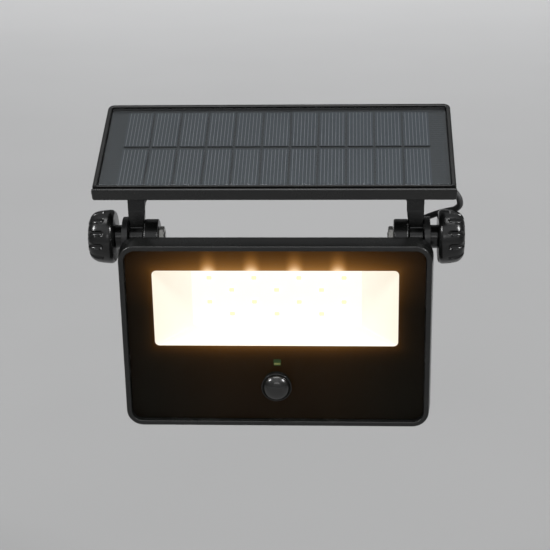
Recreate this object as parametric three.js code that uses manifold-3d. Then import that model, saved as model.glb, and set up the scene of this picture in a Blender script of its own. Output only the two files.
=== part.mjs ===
// Solar flood light: a wall bracket, a lamp head and a solar panel that share one hinge line,
// clamped at each end by a hand knob. Millimetres, +Z up, +X to the right of somebody facing
// the lamp, +Y into the wall. The origin is the centre of the wall plate's back face.
import * as THREE from 'three';
import { mergeVertices } from 'three/addons/utils/BufferGeometryUtils.js';
import Module from 'manifold-3d';

const wasm = await Module();
wasm.setup();

// ---------------------------------------------------------------- driving dimensions

const GAP = 0.3;                  // clearance between pieces that rest on each other
const SMOOTH = 24;                // sides of a round piece
const CORNER_STEPS = 5;           // segments in a rounded corner

const AXIS_OUT = 62;              // hinge line, out from the wall
const AXIS_UP = 44;               // hinge line, above the middle of the wall plate
const PANEL_SLOPE = 22.2;         // degrees the panel leans up towards the wall

// Stack along the hinge line, as distances from the middle of the light.
const NUT_INNER = 61.6;
const EAR_INNER = 64.6;
const EAR_OUTER = 72.6;
const ARM_OUTER = 80.9;           // panel arm's outer face
const BRACKET_INNER = 81.2;
const BRACKET_OUTER = 84.3;
const KNOB_INNER = 88.8;
const KNOB_OUTER = 103;
const BOLT_RADIUS = 3;
const BOLT_BORE = 3.4;

// Wall bracket
const PLATE_THICKNESS = 3;
const PLATE_HEIGHT = 36;
const EYE_RADIUS = 11;
const WALL_HOLE_SPACING = 110;
const WALL_HOLE_RADIUS = 2.75;

// Knob
const KNOB_RADIUS = 14.9;
const KNOB_NECK_RADIUS = 6.4;
const FLUTE_COUNT = 12;
const FLUTE_RADIUS = 1.6;
const FLUTE_LENGTH = 9;
const FLUTE_RISE = 0.15;          // a flute's centre line starts this far outside the grip
const FLUTE_LEAN = 14;            // degrees a flute leans in, following the tapered grip
const FLUTE_START = 4;            // degrees the first flute is turned from level
const BOLT_END = KNOB_OUTER - 4;  // bottom of the knob's blind bore

// Lamp head, in the frame of the hinge line
const HEAD_WIDTH = 169.6;
const HEAD_HEIGHT = 107.5;
const HEAD_TOP = 2.4;             // front top edge, above the hinge line
const HEAD_FRONT = -23;           // front face, out from the hinge line
const HEAD_MIDDLE = HEAD_TOP - HEAD_HEIGHT / 2;
const BEZEL_BACK = -11.5;
const BEZEL_DRAFT = 1.4;          // the bezel grows this much on each side towards the back
const BEZEL_CORNER = 9;
const RIM_WIDTH = 2.8;
const GLASS_THICKNESS = 3;
const GLASS_FRONT = HEAD_FRONT + GAP;
const GLASS_BACK = GLASS_FRONT + GLASS_THICKNESS;
const GASKET_THICKNESS = 0.8;
const LEDGE_FRONT = GLASS_BACK + GASKET_THICKNESS + 2 * GAP;
const LEDGE_THICKNESS = 2;
const LEDGE_WIDTH = 158;
const LEDGE_HEIGHT = 96;
const LEDGE_CORNER = 5;
const SKIRT_WIDTH = 166.5;
const SKIRT_HEIGHT = 104.1;
const FLANGE_THICKNESS = 2.5;
const FLANGE_FRONT = BEZEL_BACK - FLANGE_THICKNESS;
const BOX_WIDTH = 130;
const BOX_HEIGHT = 85;
const BOX_MIDDLE = -51.5;
const BOX_BACK = 12.5;
const BOX_DRAFT = -6;
const BOX_WALL = 2.2;
const EAR_RADIUS = 9.7;
const EAR_LOW = -26;              // lower end of the ear, behind the bezel
const BOSS_RADIUS = 3.2;
const PILOT_RADIUS = 1.5;
const SCREW_CLEARANCE = 1.6;

// Light window, reflector and LEDs
const WINDOW_WIDTH = 134.6;
const WINDOW_HEIGHT = 44.5;
const WINDOW_MIDDLE = -35;
const LED_FLOOR_WIDTH = 94.6;
const LED_FLOOR_HEIGHT = 33.3;
const LED_BOARD_FRONT = -3.7;
const LED_ROWS = 4;
const LED_COLUMNS = 7;
const LED_COLUMN_PITCH = 12.5;
const LED_ROW_PITCH = 7.2;
const LED_MIDDLE = -33.6;
const LED_BOARD_BACK = LED_BOARD_FRONT + 1.6;
const LED_WIDTH = 3.5;
const LED_HEIGHT = 2.8;
const LED_THICKNESS = 0.8;

// Motion sensor and electronics
const SENSOR_HEIGHT = -80.8;      // centre of the sensor lens, from the hinge line
const LENS_RADIUS = 7;
const LENS_RISE = 4.8;
const COLLAR_RADIUS = 8.5;
const LENS_HOLE_RADIUS = 8;
const SENSOR_BOARD_FRONT = -10.6;
const SENSOR_BOARD_BACK = -9.4;
const CONTROL_BOARD_FRONT = 0.2;
const CONTROL_BOARD_BACK = 1.8;
const COMPONENT_SEAT = CONTROL_BOARD_BACK + GAP;
const CELL_RADIUS = 9.1;
const CELL_LENGTH = 65;
const CELL_MIDDLE = new THREE.Vector3(0, 0.6, -74.5);
const HOLDER_FRONT = -7;
const HOLDER_BACK = 3;
const HOLDER_TOP = -67;
const HOLDER_WALL = 2.4;
const BUTTON_PLACE = new THREE.Vector3(40, 0, -30);
const BUTTON_RADIUS = 4.5;
const BUTTON_FLANGE_RADIUS = 5.6;
const BUTTON_FLANGE_FRONT = 8.3;

// Solar panel, in the frame of the hinge line turned by the panel's slope
const PANEL_WIDTH = 194.2;
const PANEL_DEPTH = 75.6;
const PANEL_FRONT = -7.6;
const PANEL_TOP = 40.3;
const PANEL_THICKNESS = 8;
const PANEL_BOTTOM = PANEL_TOP - PANEL_THICKNESS;
const PANEL_MIDDLE = PANEL_FRONT + PANEL_DEPTH / 2;
const PANEL_CORNER = 4;
const PANEL_RIM = 2.6;
const PANEL_INSIDE_CORNER = 2;
const PANEL_FLOOR_TOP = PANEL_TOP - 4.5;
const PANEL_FLOOR_BOTTOM = PANEL_TOP - 5.7;
const SOLAR_COLUMNS = 11;
const SOLAR_PITCH = 15.45;
const SOLAR_CELL_WIDTH = 14.3;
const SOLAR_ROWS = [[-3, 29.1], [31.6, 62.1]];
const RIBBON_WIDTH = 2;
const PANEL_GLAND = new THREE.Vector2(76, 40);

// Lead from the panel's gland, round the right knob and over the bracket, to the lamp's gland.
const LEAD_RADIUS = 1.75;
const LEAD_SIDES = 8;
const LEAD_FROM_PANEL = [
  [76, 25.3, 43.8], [76, 27, 39.7], [76.3, 28.4, 35.6], [78.3, 28.4, 31.6], [82.4, 25.8, 28.4],
  [87.4, 21.8, 26.2], [92.4, 17.4, 24.6], [97, 13.2, 22.6], [100.3, 10.8, 19.2], [101.2, 10.7, 15],
  [99, 12.4, 11.8], [95, 14.8, 9.9], [90.8, 17.2, 8], [86.8, 19.2, 5.9], [82.95, 20.6, 3.8],
];
const LEAD_TO_LAMP = [
  [82.65, 20.7, 3.64], [79.7, 21.1, 1.6], [77.6, 20.2, -2.8], [76.9, 17.2, -8.2], [76.4, 12.8, -13.2],
  [75.3, 8.4, -17.2], [72.9, 5.7, -19.4], [69.9, 5, -20], [66.5, 5, -20], [61.5, 5, -20],
];
const LAMP_GLAND = new THREE.Vector3(61, 5, -20);

// ---------------------------------------------------------------- solids and outlines

function toSolid(geometry) {
  const bare = geometry.clone();
  bare.deleteAttribute('normal');
  bare.deleteAttribute('uv');
  const merged = mergeVertices(bare, 1e-4);
  const vertProperties = new Float32Array(merged.attributes.position.array);
  const triVerts = new Uint32Array(merged.index.array);
  return new wasm.Manifold(new wasm.Mesh({ numProp: 3, vertProperties, triVerts }));
}

function toGeometry(solid) {
  const mesh = solid.getMesh();
  const geometry = new THREE.BufferGeometry();
  geometry.setAttribute('position', new THREE.BufferAttribute(mesh.vertProperties, 3));
  geometry.setIndex(new THREE.BufferAttribute(mesh.triVerts, 1));
  geometry.computeVertexNormals();
  return geometry;
}

function join(...geometries) {
  return toGeometry(geometries.map(toSolid).reduce((whole, next) => whole.add(next)));
}

function cut(base, ...tools) {
  return toGeometry(tools.map(toSolid).reduce((rest, tool) => rest.subtract(tool), toSolid(base)));
}

function roundedRectangle(width, height, radius, middle = 0) {
  const right = width / 2 - radius;
  const left = -right;
  const top = middle + height / 2 - radius;
  const bottom = middle - height / 2 + radius;
  const shape = new THREE.Shape();
  shape.absarc(right, bottom, radius, -Math.PI / 2, 0);
  shape.absarc(right, top, radius, 0, Math.PI / 2);
  shape.absarc(left, top, radius, Math.PI / 2, Math.PI);
  shape.absarc(left, bottom, radius, Math.PI, 1.5 * Math.PI);
  shape.closePath();
  return shape;
}

function extrude(shape, depth) {
  const options = { depth, bevelEnabled: false, curveSegments: CORNER_STEPS };
  return new THREE.ExtrudeGeometry(shape, options);
}

// A slab whose outline is drawn in X and Z and whose thickness runs from front to back along Y.
// Its back outline can be larger than its front one by growX and growZ on each side.
function slab({ width, height, radius, middle, front, back, growX = 0, growZ = growX }) {
  const geometry = extrude(roundedRectangle(width, height, radius), back - front);
  geometry.rotateX(Math.PI / 2);
  geometry.translate(0, back, 0);
  const place = geometry.attributes.position;
  for (let i = 0; i < place.count; i += 1) {
    if (place.getY(i) > (front + back) / 2) {
      place.setX(i, place.getX(i) + Math.sign(place.getX(i)) * growX);
      place.setZ(i, place.getZ(i) + Math.sign(place.getZ(i)) * growZ);
    }
  }
  geometry.translate(0, 0, middle);
  return geometry;
}

// A profile drawn in Y and Z, extruded along X between two places.
function extrudeAlongX(shape, from, to) {
  const geometry = new THREE.ExtrudeGeometry(shape, {
    depth: to - from, bevelEnabled: false, curveSegments: SMOOTH / 2,
  });
  const turn = new THREE.Matrix4().makeBasis(
    new THREE.Vector3(0, 1, 0), new THREE.Vector3(0, 0, 1), new THREE.Vector3(1, 0, 0),
  );
  geometry.applyMatrix4(turn);
  geometry.translate(from, 0, 0);
  return geometry;
}

// A body of revolution from [radius, place] pairs; the places run along the chosen axis.
function turned(profile, axis, sides = SMOOTH) {
  const points = profile.map(([radius, place]) => new THREE.Vector2(radius, place));
  const geometry = new THREE.LatheGeometry(points, sides);
  if (axis === 'x') geometry.rotateZ(-Math.PI / 2);
  if (axis === 'z') geometry.rotateX(Math.PI / 2);
  return geometry;
}

function rod(radius, from, to, axis, sides = SMOOTH) {
  return turned([[0, from], [radius, from], [radius, to], [0, to]], axis, sides);
}

function box(low, high) {
  const geometry = new THREE.BoxGeometry(high[0] - low[0], high[1] - low[1], high[2] - low[2]);
  geometry.translate((low[0] + high[0]) / 2, (low[1] + high[1]) / 2, (low[2] + high[2]) / 2);
  return geometry;
}

function moved(geometry, x, y, z) {
  geometry.translate(x, y, z);
  return geometry;
}

// The same rod along Y at each of several places given in X and Z.
function rodsAt(places, radius, from, to, sides) {
  return places.map(([x, z]) => moved(rod(radius, from, to, 'y', sides), x, 0, z));
}

// Pieces on the left are the mirror image of those on the right.
function mirrored(geometry) {
  const flipped = geometry.clone();
  flipped.deleteAttribute('normal');
  flipped.deleteAttribute('uv');
  flipped.scale(-1, 1, 1);
  const merged = mergeVertices(flipped, 1e-4);
  const corners = merged.index.array;
  for (let i = 0; i < corners.length; i += 3) {
    [corners[i], corners[i + 1]] = [corners[i + 1], corners[i]];
  }
  merged.computeVertexNormals();
  return merged;
}

// ---------------------------------------------------------------- materials and meshes

const finishes = {
  blackPlastic: { color: 0x1d1e20, roughness: 0.55, metalness: 0 },
  knobPlastic: { color: 0x17181a, roughness: 0.45, metalness: 0 },
  bracketPaint: { color: 0x1b1c1e, roughness: 0.5, metalness: 0.2 },
  rubber: { color: 0x101011, roughness: 0.8, metalness: 0 },
  lensGlass: { color: 0x0b0a09, roughness: 0.08, metalness: 0 },
  sensorLens: { color: 0x2b2c30, roughness: 0.2, metalness: 0 },
  reflectorWhite: { color: 0xf4efe4, roughness: 0.4, metalness: 0 },
  greenBoard: { color: 0x1f6b3a, roughness: 0.5, metalness: 0 },
  whiteBoard: { color: 0xefefec, roughness: 0.5, metalness: 0 },
  steel: { color: 0xb9bcc0, roughness: 0.3, metalness: 1 },
  cellWrap: { color: 0x2f6fb0, roughness: 0.35, metalness: 0 },
  silicon: { color: 0x2a3142, roughness: 0.25, metalness: 0.1 },
  clearSheet: { color: 0x3a4048, roughness: 0.15, metalness: 0 },
  componentBlack: { color: 0x151515, roughness: 0.5, metalness: 0 },
};

function piece(name, geometry, finish) {
  const mesh = new THREE.Mesh(geometry, new THREE.MeshStandardMaterial(finishes[finish]));
  mesh.name = name;
  return mesh;
}

// ---------------------------------------------------------------- wall bracket

// Side plate: a round eye at the hinge line that runs back and down to the wall plate.
function bracketSide() {
  const plateTop = -AXIS_UP + PLATE_HEIGHT / 2;
  const plateBottom = -AXIS_UP - PLATE_HEIGHT / 2;
  const reach = Math.hypot(AXIS_OUT, plateTop);
  const upperTangent = Math.atan2(plateTop, AXIS_OUT) + Math.acos(EYE_RADIUS / reach);
  const lowReach = Math.hypot(AXIS_OUT, plateBottom);
  const lowerTangent = Math.atan2(plateBottom, AXIS_OUT) - Math.acos(EYE_RADIUS / lowReach);
  const shape = new THREE.Shape();
  shape.absarc(0, 0, EYE_RADIUS, upperTangent, lowerTangent + 2 * Math.PI);
  shape.lineTo(AXIS_OUT, plateBottom);
  shape.lineTo(AXIS_OUT, plateTop);
  shape.closePath();
  return extrudeAlongX(shape, BRACKET_INNER, BRACKET_OUTER);
}

function wallBracket() {
  const right = bracketSide();
  const plate = box(
    [-BRACKET_OUTER, AXIS_OUT - PLATE_THICKNESS, -AXIS_UP - PLATE_HEIGHT / 2],
    [BRACKET_OUTER, AXIS_OUT, -AXIS_UP + PLATE_HEIGHT / 2],
  );
  const holePlaces = [-1, 1].map((side) => [side * WALL_HOLE_SPACING / 2, -AXIS_UP]);
  const holes = rodsAt(holePlaces, WALL_HOLE_RADIUS, AXIS_OUT - 5, AXIS_OUT + 5, SMOOTH);
  const hingeBore = rod(BOLT_BORE, -BRACKET_OUTER - 1, BRACKET_OUTER + 1, 'x');
  return cut(join(plate, right, mirrored(right)), hingeBore, ...holes);
}

// ---------------------------------------------------------------- knobs, bolts and nuts

// One of the grooves round the grip, running out through the knob's end.
function flute(degrees) {
  const groove = rod(FLUTE_RADIUS, 0, FLUTE_LENGTH + 2, 'x', 10);
  groove.rotateZ(-THREE.MathUtils.degToRad(FLUTE_LEAN));
  moved(groove, KNOB_OUTER - FLUTE_LENGTH, KNOB_RADIUS + FLUTE_RISE, 0);
  groove.rotateX(THREE.MathUtils.degToRad(degrees));
  return groove;
}

function knob() {
  const profile = [
    [0, BRACKET_OUTER + GAP], [KNOB_NECK_RADIUS, BRACKET_OUTER + GAP],
    [KNOB_NECK_RADIUS, KNOB_INNER], [KNOB_RADIUS - 1.6, KNOB_INNER],
    [KNOB_RADIUS - 0.4, KNOB_INNER + 0.7], [KNOB_RADIUS, KNOB_INNER + 2],
    [KNOB_RADIUS - 0.3, KNOB_OUTER - 8], [KNOB_RADIUS - 1, KNOB_OUTER - 4],
    [KNOB_RADIUS - 2, KNOB_OUTER - 2.1], [KNOB_RADIUS - 3.1, KNOB_OUTER - 1],
    [KNOB_RADIUS - 4.5, KNOB_OUTER - 0.25], [KNOB_RADIUS - 6, KNOB_OUTER], [0, KNOB_OUTER],
  ];
  const pitch = 360 / FLUTE_COUNT;
  const turns = Array.from({ length: FLUTE_COUNT }, (_, i) => FLUTE_START + i * pitch);
  const boltBore = rod(BOLT_RADIUS + GAP, BRACKET_OUTER - 1, BOLT_END, 'x', 16);
  return cut(turned(profile, 'x', 2 * SMOOTH - 4), boltBore, ...turns.map(flute));
}

function clampBolt() {
  return rod(BOLT_RADIUS, NUT_INNER - 0.4, BOLT_END - GAP, 'x', 16);
}

function lockNut() {
  const acrossCorners = 11.5;
  const shape = new THREE.Shape();
  for (let i = 0; i < 6; i += 1) {
    const angle = (i / 6) * 2 * Math.PI;
    const corner = [Math.cos(angle) * acrossCorners / 2, Math.sin(angle) * acrossCorners / 2];
    if (i === 0) shape.moveTo(...corner);
    else shape.lineTo(...corner);
  }
  shape.closePath();
  const blank = extrudeAlongX(shape, NUT_INNER, EAR_INNER - GAP);
  return cut(blank, rod(BOLT_RADIUS + GAP, NUT_INNER - 1, EAR_INNER + 1, 'x', 16));
}

// ---------------------------------------------------------------- solar panel

const PANEL_SCREWS = [[-88, -1], [88, -1], [-88, 60.5], [88, 60.5]];
const WIRE_HOLE = [60, 40];

function panelSlab(width, depth, radius, bottom, top) {
  const outline = roundedRectangle(width, depth, radius, PANEL_MIDDLE);
  return moved(extrude(outline, top - bottom), 0, 0, bottom);
}

// The space inside the rim, or a layer that fits in it with some clearance.
function panelInside(bottom, top, clearance = 0) {
  const width = PANEL_WIDTH - 2 * (PANEL_RIM + clearance);
  const depth = PANEL_DEPTH - 2 * (PANEL_RIM + clearance);
  return panelSlab(width, depth, PANEL_INSIDE_CORNER, bottom, top);
}

// A hole through the panel's floor or cover at a place given in X and Y.
function panelHole([x, y], radius, bottom, top) {
  return moved(rod(radius, bottom - 1, top + 1, 'z', 12), x, y, 0);
}

function panelFrame() {
  const screwHoles = PANEL_SCREWS.map((place) => (
    panelHole(place, SCREW_CLEARANCE, PANEL_FLOOR_BOTTOM, PANEL_FLOOR_TOP)
  ));
  return cut(
    panelSlab(PANEL_WIDTH, PANEL_DEPTH, PANEL_CORNER, PANEL_BOTTOM, PANEL_TOP),
    panelInside(PANEL_FLOOR_TOP, PANEL_TOP + 1),
    panelInside(PANEL_BOTTOM - 1, PANEL_FLOOR_BOTTOM),
    panelHole(WIRE_HOLE, 3, PANEL_FLOOR_BOTTOM, PANEL_FLOOR_TOP),
    ...screwHoles,
  );
}

function panelBackCover() {
  const top = PANEL_BOTTOM + 2;
  const screwHoles = PANEL_SCREWS.map((place) => panelHole(place, SCREW_CLEARANCE, PANEL_BOTTOM, top));
  const leadHole = panelHole(PANEL_GLAND.toArray(), 2.6, PANEL_BOTTOM, top);
  return cut(panelInside(PANEL_BOTTOM, top, GAP), leadHole, ...screwHoles);
}

// Two rows of cells, held together by the ribbons that connect them in series.
function solarCells() {
  const bottom = PANEL_TOP - 2.4;
  const top = PANEL_TOP - 2;
  const half = SOLAR_CELL_WIDTH / 2;
  const ribbon = RIBBON_WIDTH / 2;
  const string = [];
  for (const [front, back] of SOLAR_ROWS) {
    for (let column = 0; column < SOLAR_COLUMNS; column += 1) {
      const x = (column - (SOLAR_COLUMNS - 1) / 2) * SOLAR_PITCH;
      string.push(box([x - half, front, bottom], [x + half, back, top]));
    }
    const end = (SOLAR_COLUMNS / 2) * SOLAR_PITCH - 3;
    const middle = (front + back) / 2;
    string.push(box([-end, middle - ribbon, bottom], [end, middle + ribbon, top - 0.1]));
  }
  const [lastRow, firstRow] = SOLAR_ROWS;
  const lastColumn = ((SOLAR_COLUMNS - 1) / 2) * SOLAR_PITCH;
  string.push(box(
    [lastColumn - ribbon, lastRow[1] - 3, bottom],
    [lastColumn + ribbon, firstRow[0] + 3, top - 0.1],
  ));
  return join(...string);
}

function panelScrew([x, y]) {
  const screw = [
    [0, PANEL_BOTTOM - 1.9], [2.2, PANEL_BOTTOM - 1.9], [2.7, PANEL_BOTTOM - 1.2],
    [2.7, PANEL_BOTTOM - GAP], [1.2, PANEL_BOTTOM - GAP], [1.2, PANEL_FLOOR_TOP], [0, PANEL_FLOOR_TOP],
  ];
  return moved(turned(screw, 'z', 12), x, y, 0);
}

// Arm: a barrel on the hinge line and a web that leans back to a foot under the panel.
function panelArm() {
  const foot = PANEL_BOTTOM - GAP;
  const shape = new THREE.Shape();
  shape.moveTo(-0.1, 6.3);
  shape.lineTo(2.7, 16);
  shape.lineTo(11, foot - 3);
  shape.lineTo(11, foot);
  shape.lineTo(34, foot);
  shape.lineTo(34, foot - 2.5);
  shape.lineTo(21, foot - 5);
  shape.lineTo(12.4, 16);
  shape.lineTo(6.2, 1.5);
  shape.absarc(0, 0, 6.4, Math.atan2(1.5, 6.2), Math.atan2(6.3, -0.1) - 2 * Math.PI, true);
  shape.closePath();
  const web = extrudeAlongX(shape, EAR_OUTER + GAP, ARM_OUTER);
  return cut(web, rod(BOLT_BORE, EAR_OUTER - 1, ARM_OUTER + 1, 'x', 16));
}

function panelGland() {
  const bottom = PANEL_BOTTOM;
  const bore = LEAD_RADIUS + GAP;
  const profile = [
    [bore, bottom - 7.8], [2.7, bottom - 7.8], [3.2, bottom - 2.6], [4.4, bottom - 1.8],
    [4.4, bottom - GAP], [bore, bottom - GAP], [bore, bottom - 7.8],
  ];
  return moved(turned(profile, 'z', 14), PANEL_GLAND.x, PANEL_GLAND.y, 0);
}

// ---------------------------------------------------------------- lamp head

const HOUSING_SCREWS = [[-78.5, -24], [78.5, -24], [-78.5, -82], [78.5, -82], [0, -98.5], [0, -4.2]];

function frontBezel() {
  const body = slab({
    width: HEAD_WIDTH, height: HEAD_HEIGHT, radius: BEZEL_CORNER, middle: HEAD_MIDDLE,
    front: HEAD_FRONT, back: BEZEL_BACK, growX: BEZEL_DRAFT,
  });
  const ledgeBack = LEDGE_FRONT + LEDGE_THICKNESS;
  const glassPocket = slab({
    width: HEAD_WIDTH - 2 * RIM_WIDTH, height: HEAD_HEIGHT - 2 * RIM_WIDTH,
    radius: BEZEL_CORNER - RIM_WIDTH, middle: HEAD_MIDDLE, front: HEAD_FRONT - 1, back: LEDGE_FRONT,
  });
  const opening = slab({
    width: LEDGE_WIDTH, height: LEDGE_HEIGHT, radius: LEDGE_CORNER,
    middle: HEAD_MIDDLE, front: HEAD_FRONT - 1, back: 0,
  });
  const skirt = slab({
    width: SKIRT_WIDTH, height: SKIRT_HEIGHT, radius: 7.4,
    middle: HEAD_MIDDLE, front: ledgeBack, back: 0,
  });
  const bosses = rodsAt(HOUSING_SCREWS, BOSS_RADIUS, LEDGE_FRONT + 0.2, FLANGE_FRONT - GAP, 12);
  const pilots = rodsAt(HOUSING_SCREWS, PILOT_RADIUS, LEDGE_FRONT + 0.6, FLANGE_FRONT, 10);
  return cut(join(cut(body, glassPocket, opening, skirt), ...bosses), ...pilots);
}

function glassOutline(front, back) {
  return slab({
    width: HEAD_WIDTH - 2 * RIM_WIDTH - 2 * GAP, height: HEAD_HEIGHT - 2 * RIM_WIDTH - 2 * GAP,
    radius: BEZEL_CORNER - RIM_WIDTH - GAP, middle: HEAD_MIDDLE, front, back,
  });
}

function frontGlass() {
  const lensHole = moved(rod(LENS_HOLE_RADIUS, GLASS_FRONT - 1, GLASS_BACK + 1, 'y'), 0, 0, SENSOR_HEIGHT);
  return cut(glassOutline(GLASS_FRONT, GLASS_BACK), lensHole);
}

function glassGasket() {
  const front = GLASS_BACK + GAP;
  const inner = slab({
    width: LEDGE_WIDTH + 1, height: LEDGE_HEIGHT + 1, radius: LEDGE_CORNER,
    middle: HEAD_MIDDLE, front: front - 1, back: 0,
  });
  return cut(glassOutline(front, front + GASKET_THICKNESS), inner);
}

function reflector() {
  const front = GLASS_BACK + GAP;
  const back = LED_BOARD_FRONT - GAP;
  const shrinkX = (LED_FLOOR_WIDTH - WINDOW_WIDTH) / 2;
  const shrinkZ = (LED_FLOOR_HEIGHT - WINDOW_HEIGHT) / 2;
  const shell = slab({
    width: WINDOW_WIDTH + 2, height: WINDOW_HEIGHT + 2, radius: 3, middle: WINDOW_MIDDLE,
    front, back, growX: shrinkX, growZ: shrinkZ,
  });
  const flange = slab({
    width: WINDOW_WIDTH + 9, height: WINDOW_HEIGHT + 9, radius: 4,
    middle: WINDOW_MIDDLE, front, back: front + 1,
  });
  const hollow = slab({
    width: WINDOW_WIDTH, height: WINDOW_HEIGHT, radius: 2.5, middle: WINDOW_MIDDLE,
    front: front - 0.01, back: back + 0.01, growX: shrinkX, growZ: shrinkZ,
  });
  return cut(join(shell, flange), hollow);
}

// The board carries its LEDs, staggered: four in one row, three in the next.
function ledBoard() {
  const board = slab({
    width: 106, height: 37, radius: 2, middle: WINDOW_MIDDLE, front: LED_BOARD_FRONT, back: LED_BOARD_BACK,
  });
  const chips = [];
  for (let row = 0; row < LED_ROWS; row += 1) {
    for (let column = row % 2; column < LED_COLUMNS; column += 2) {
      const x = (column - (LED_COLUMNS - 1) / 2) * LED_COLUMN_PITCH;
      const z = LED_MIDDLE + ((LED_ROWS - 1) / 2 - row) * LED_ROW_PITCH;
      chips.push(box(
        [x - LED_WIDTH / 2, LED_BOARD_FRONT - LED_THICKNESS, z - LED_HEIGHT / 2],
        [x + LED_WIDTH / 2, LED_BOARD_FRONT + 0.5, z + LED_HEIGHT / 2],
      ));
    }
  }
  return join(board, ...chips);
}

function sensorCollar() {
  const sleeve = LENS_RADIUS + GAP;
  const profile = [
    [sleeve, GLASS_BACK + 2], [sleeve, HEAD_FRONT - 1], [COLLAR_RADIUS - 0.4, HEAD_FRONT - 0.9],
    [COLLAR_RADIUS, HEAD_FRONT - 0.5], [COLLAR_RADIUS, HEAD_FRONT], [sleeve + 0.4, HEAD_FRONT],
    [sleeve + 0.4, GLASS_BACK + 2], [sleeve, GLASS_BACK + 2],
  ];
  return moved(turned(profile, 'y'), 0, 0, SENSOR_HEIGHT);
}

// Domed lens: a thin cap on a straight skirt, open at the back.
function sensorLens() {
  const front = HEAD_FRONT - 0.6;
  const back = GLASS_BACK + 4;
  const wall = 0.9;
  const steps = 7;
  const outer = [];
  const inner = [];
  for (let i = 0; i <= steps; i += 1) {
    const angle = (i / steps) * Math.PI / 2;
    outer.push([Math.sin(angle) * LENS_RADIUS, front - Math.cos(angle) * LENS_RISE]);
    inner.push([Math.sin(angle) * (LENS_RADIUS - wall), front - Math.cos(angle) * (LENS_RISE - wall)]);
  }
  const profile = [...outer, [LENS_RADIUS, back], [LENS_RADIUS - wall, back], ...inner.reverse()];
  profile[0][0] = 0;
  profile[profile.length - 1][0] = 0;
  return moved(turned(profile, 'y'), 0, 0, SENSOR_HEIGHT);
}

function motionSensor() {
  const back = SENSOR_BOARD_FRONT - GAP;
  const profile = [
    [0, back - 3.7], [4.1, back - 3.7], [4.1, back - 0.7], [4.6, back - 0.7], [4.6, back], [0, back],
  ];
  return moved(turned(profile, 'y', 20), 0, 0, SENSOR_HEIGHT);
}

function sensorBoard() {
  return slab({
    width: 34, height: 28, radius: 1, middle: -76, front: SENSOR_BOARD_FRONT, back: SENSOR_BOARD_BACK,
  });
}

function daylightSensor() {
  const back = SENSOR_BOARD_FRONT - GAP;
  return box([-1.9, back - 1, -74.2], [1.9, back, -72.8]);
}

function controlBoard() {
  return slab({
    width: 100, height: 36, radius: 2, middle: WINDOW_MIDDLE - 1,
    front: CONTROL_BOARD_FRONT, back: CONTROL_BOARD_BACK,
  });
}

// Parts on the back of the control board: a middle in X and Z, then width, depth and height.
const BOARD_PARTS = [
  { name: 'charge_inductor', middle: [-28, -36], size: [8, 4, 8], finish: 'componentBlack' },
  { name: 'controller_chip', middle: [-11, -33], size: [6, 1.2, 6], finish: 'componentBlack' },
  { name: 'battery_connector', middle: [-40, -49], size: [8, 6, 6], finish: 'whiteBoard' },
  { name: 'panel_connector', middle: [-40, -24], size: [8, 6, 6], finish: 'whiteBoard' },
];

function boardBlock([x, z], [width, depth, height]) {
  return box(
    [x - width / 2, COMPONENT_SEAT, z - height / 2],
    [x + width / 2, COMPONENT_SEAT + depth, z + height / 2],
  );
}

function smoothingCapacitor() {
  return moved(rod(3.2, COMPONENT_SEAT, COMPONENT_SEAT + 7, 'y', 16), 20, 0, -46);
}

// Tactile switch: its plunger stands just in front of the rubber button.
function modeSwitch() {
  const { x, z } = BUTTON_PLACE;
  const plunger = moved(rod(1.7, COMPONENT_SEAT + 3, 7.2, 'y', 12), x, 0, z);
  return join(boardBlock([x, z], [6, 3.6, 6]), plunger);
}

function modeButton() {
  const flangeBack = BOX_BACK - BOX_WALL - 0.4;
  const profile = [
    [0, BUTTON_FLANGE_FRONT], [BUTTON_FLANGE_RADIUS, BUTTON_FLANGE_FRONT],
    [BUTTON_FLANGE_RADIUS, flangeBack], [BUTTON_RADIUS, flangeBack],
    [BUTTON_RADIUS, BOX_BACK + 1], [BUTTON_RADIUS - 0.9, BOX_BACK + 1.7], [0, BOX_BACK + 1.8],
  ];
  return moved(turned(profile, 'y', 20), BUTTON_PLACE.x, 0, BUTTON_PLACE.z);
}

function batteryCell() {
  const half = CELL_LENGTH / 2;
  const profile = [
    [0, -half], [CELL_RADIUS - 0.6, -half], [CELL_RADIUS, -half + 0.6], [CELL_RADIUS, half - 1.8],
    [CELL_RADIUS - 0.8, half - 1], [2.8, half - 1], [2.8, half], [0, half],
  ];
  return moved(turned(profile, 'x'), CELL_MIDDLE.x, CELL_MIDDLE.y, CELL_MIDDLE.z);
}

// Cradle: a rail under the cell with a plate at each end.
function batteryHolder() {
  const inner = CELL_LENGTH / 2 + 0.4;
  const outer = inner + HOLDER_WALL;
  const railTop = CELL_MIDDLE.z - CELL_RADIUS - 0.4;
  const low = railTop - 1.6;
  const rail = box([-outer, HOLDER_FRONT, low], [outer, HOLDER_BACK, railTop]);
  const ends = [[-outer, -inner], [inner, outer]].map(([from, to]) => (
    box([from, HOLDER_FRONT, low], [to, HOLDER_BACK, HOLDER_TOP])
  ));
  return join(rail, ...ends);
}

// Ear: a lug that carries the clamp bolt. Its front slopes up from the bezel's back edge.
function housingEar() {
  const shape = new THREE.Shape();
  const face = BEZEL_BACK + GAP;
  const root = face - 1.3;
  const start = -Math.PI / 4;
  shape.moveTo(root, -0.3);
  shape.lineTo(root, EAR_LOW);
  shape.lineTo(face, EAR_LOW);
  shape.lineTo(EAR_RADIUS * Math.cos(start), EAR_RADIUS * Math.sin(start));
  shape.absarc(0, 0, EAR_RADIUS, start, Math.PI * 0.62);
  shape.lineTo(face, 1.5);
  shape.lineTo(face, -0.3);
  shape.closePath();
  return extrudeAlongX(shape, EAR_INNER, EAR_OUTER);
}

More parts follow.
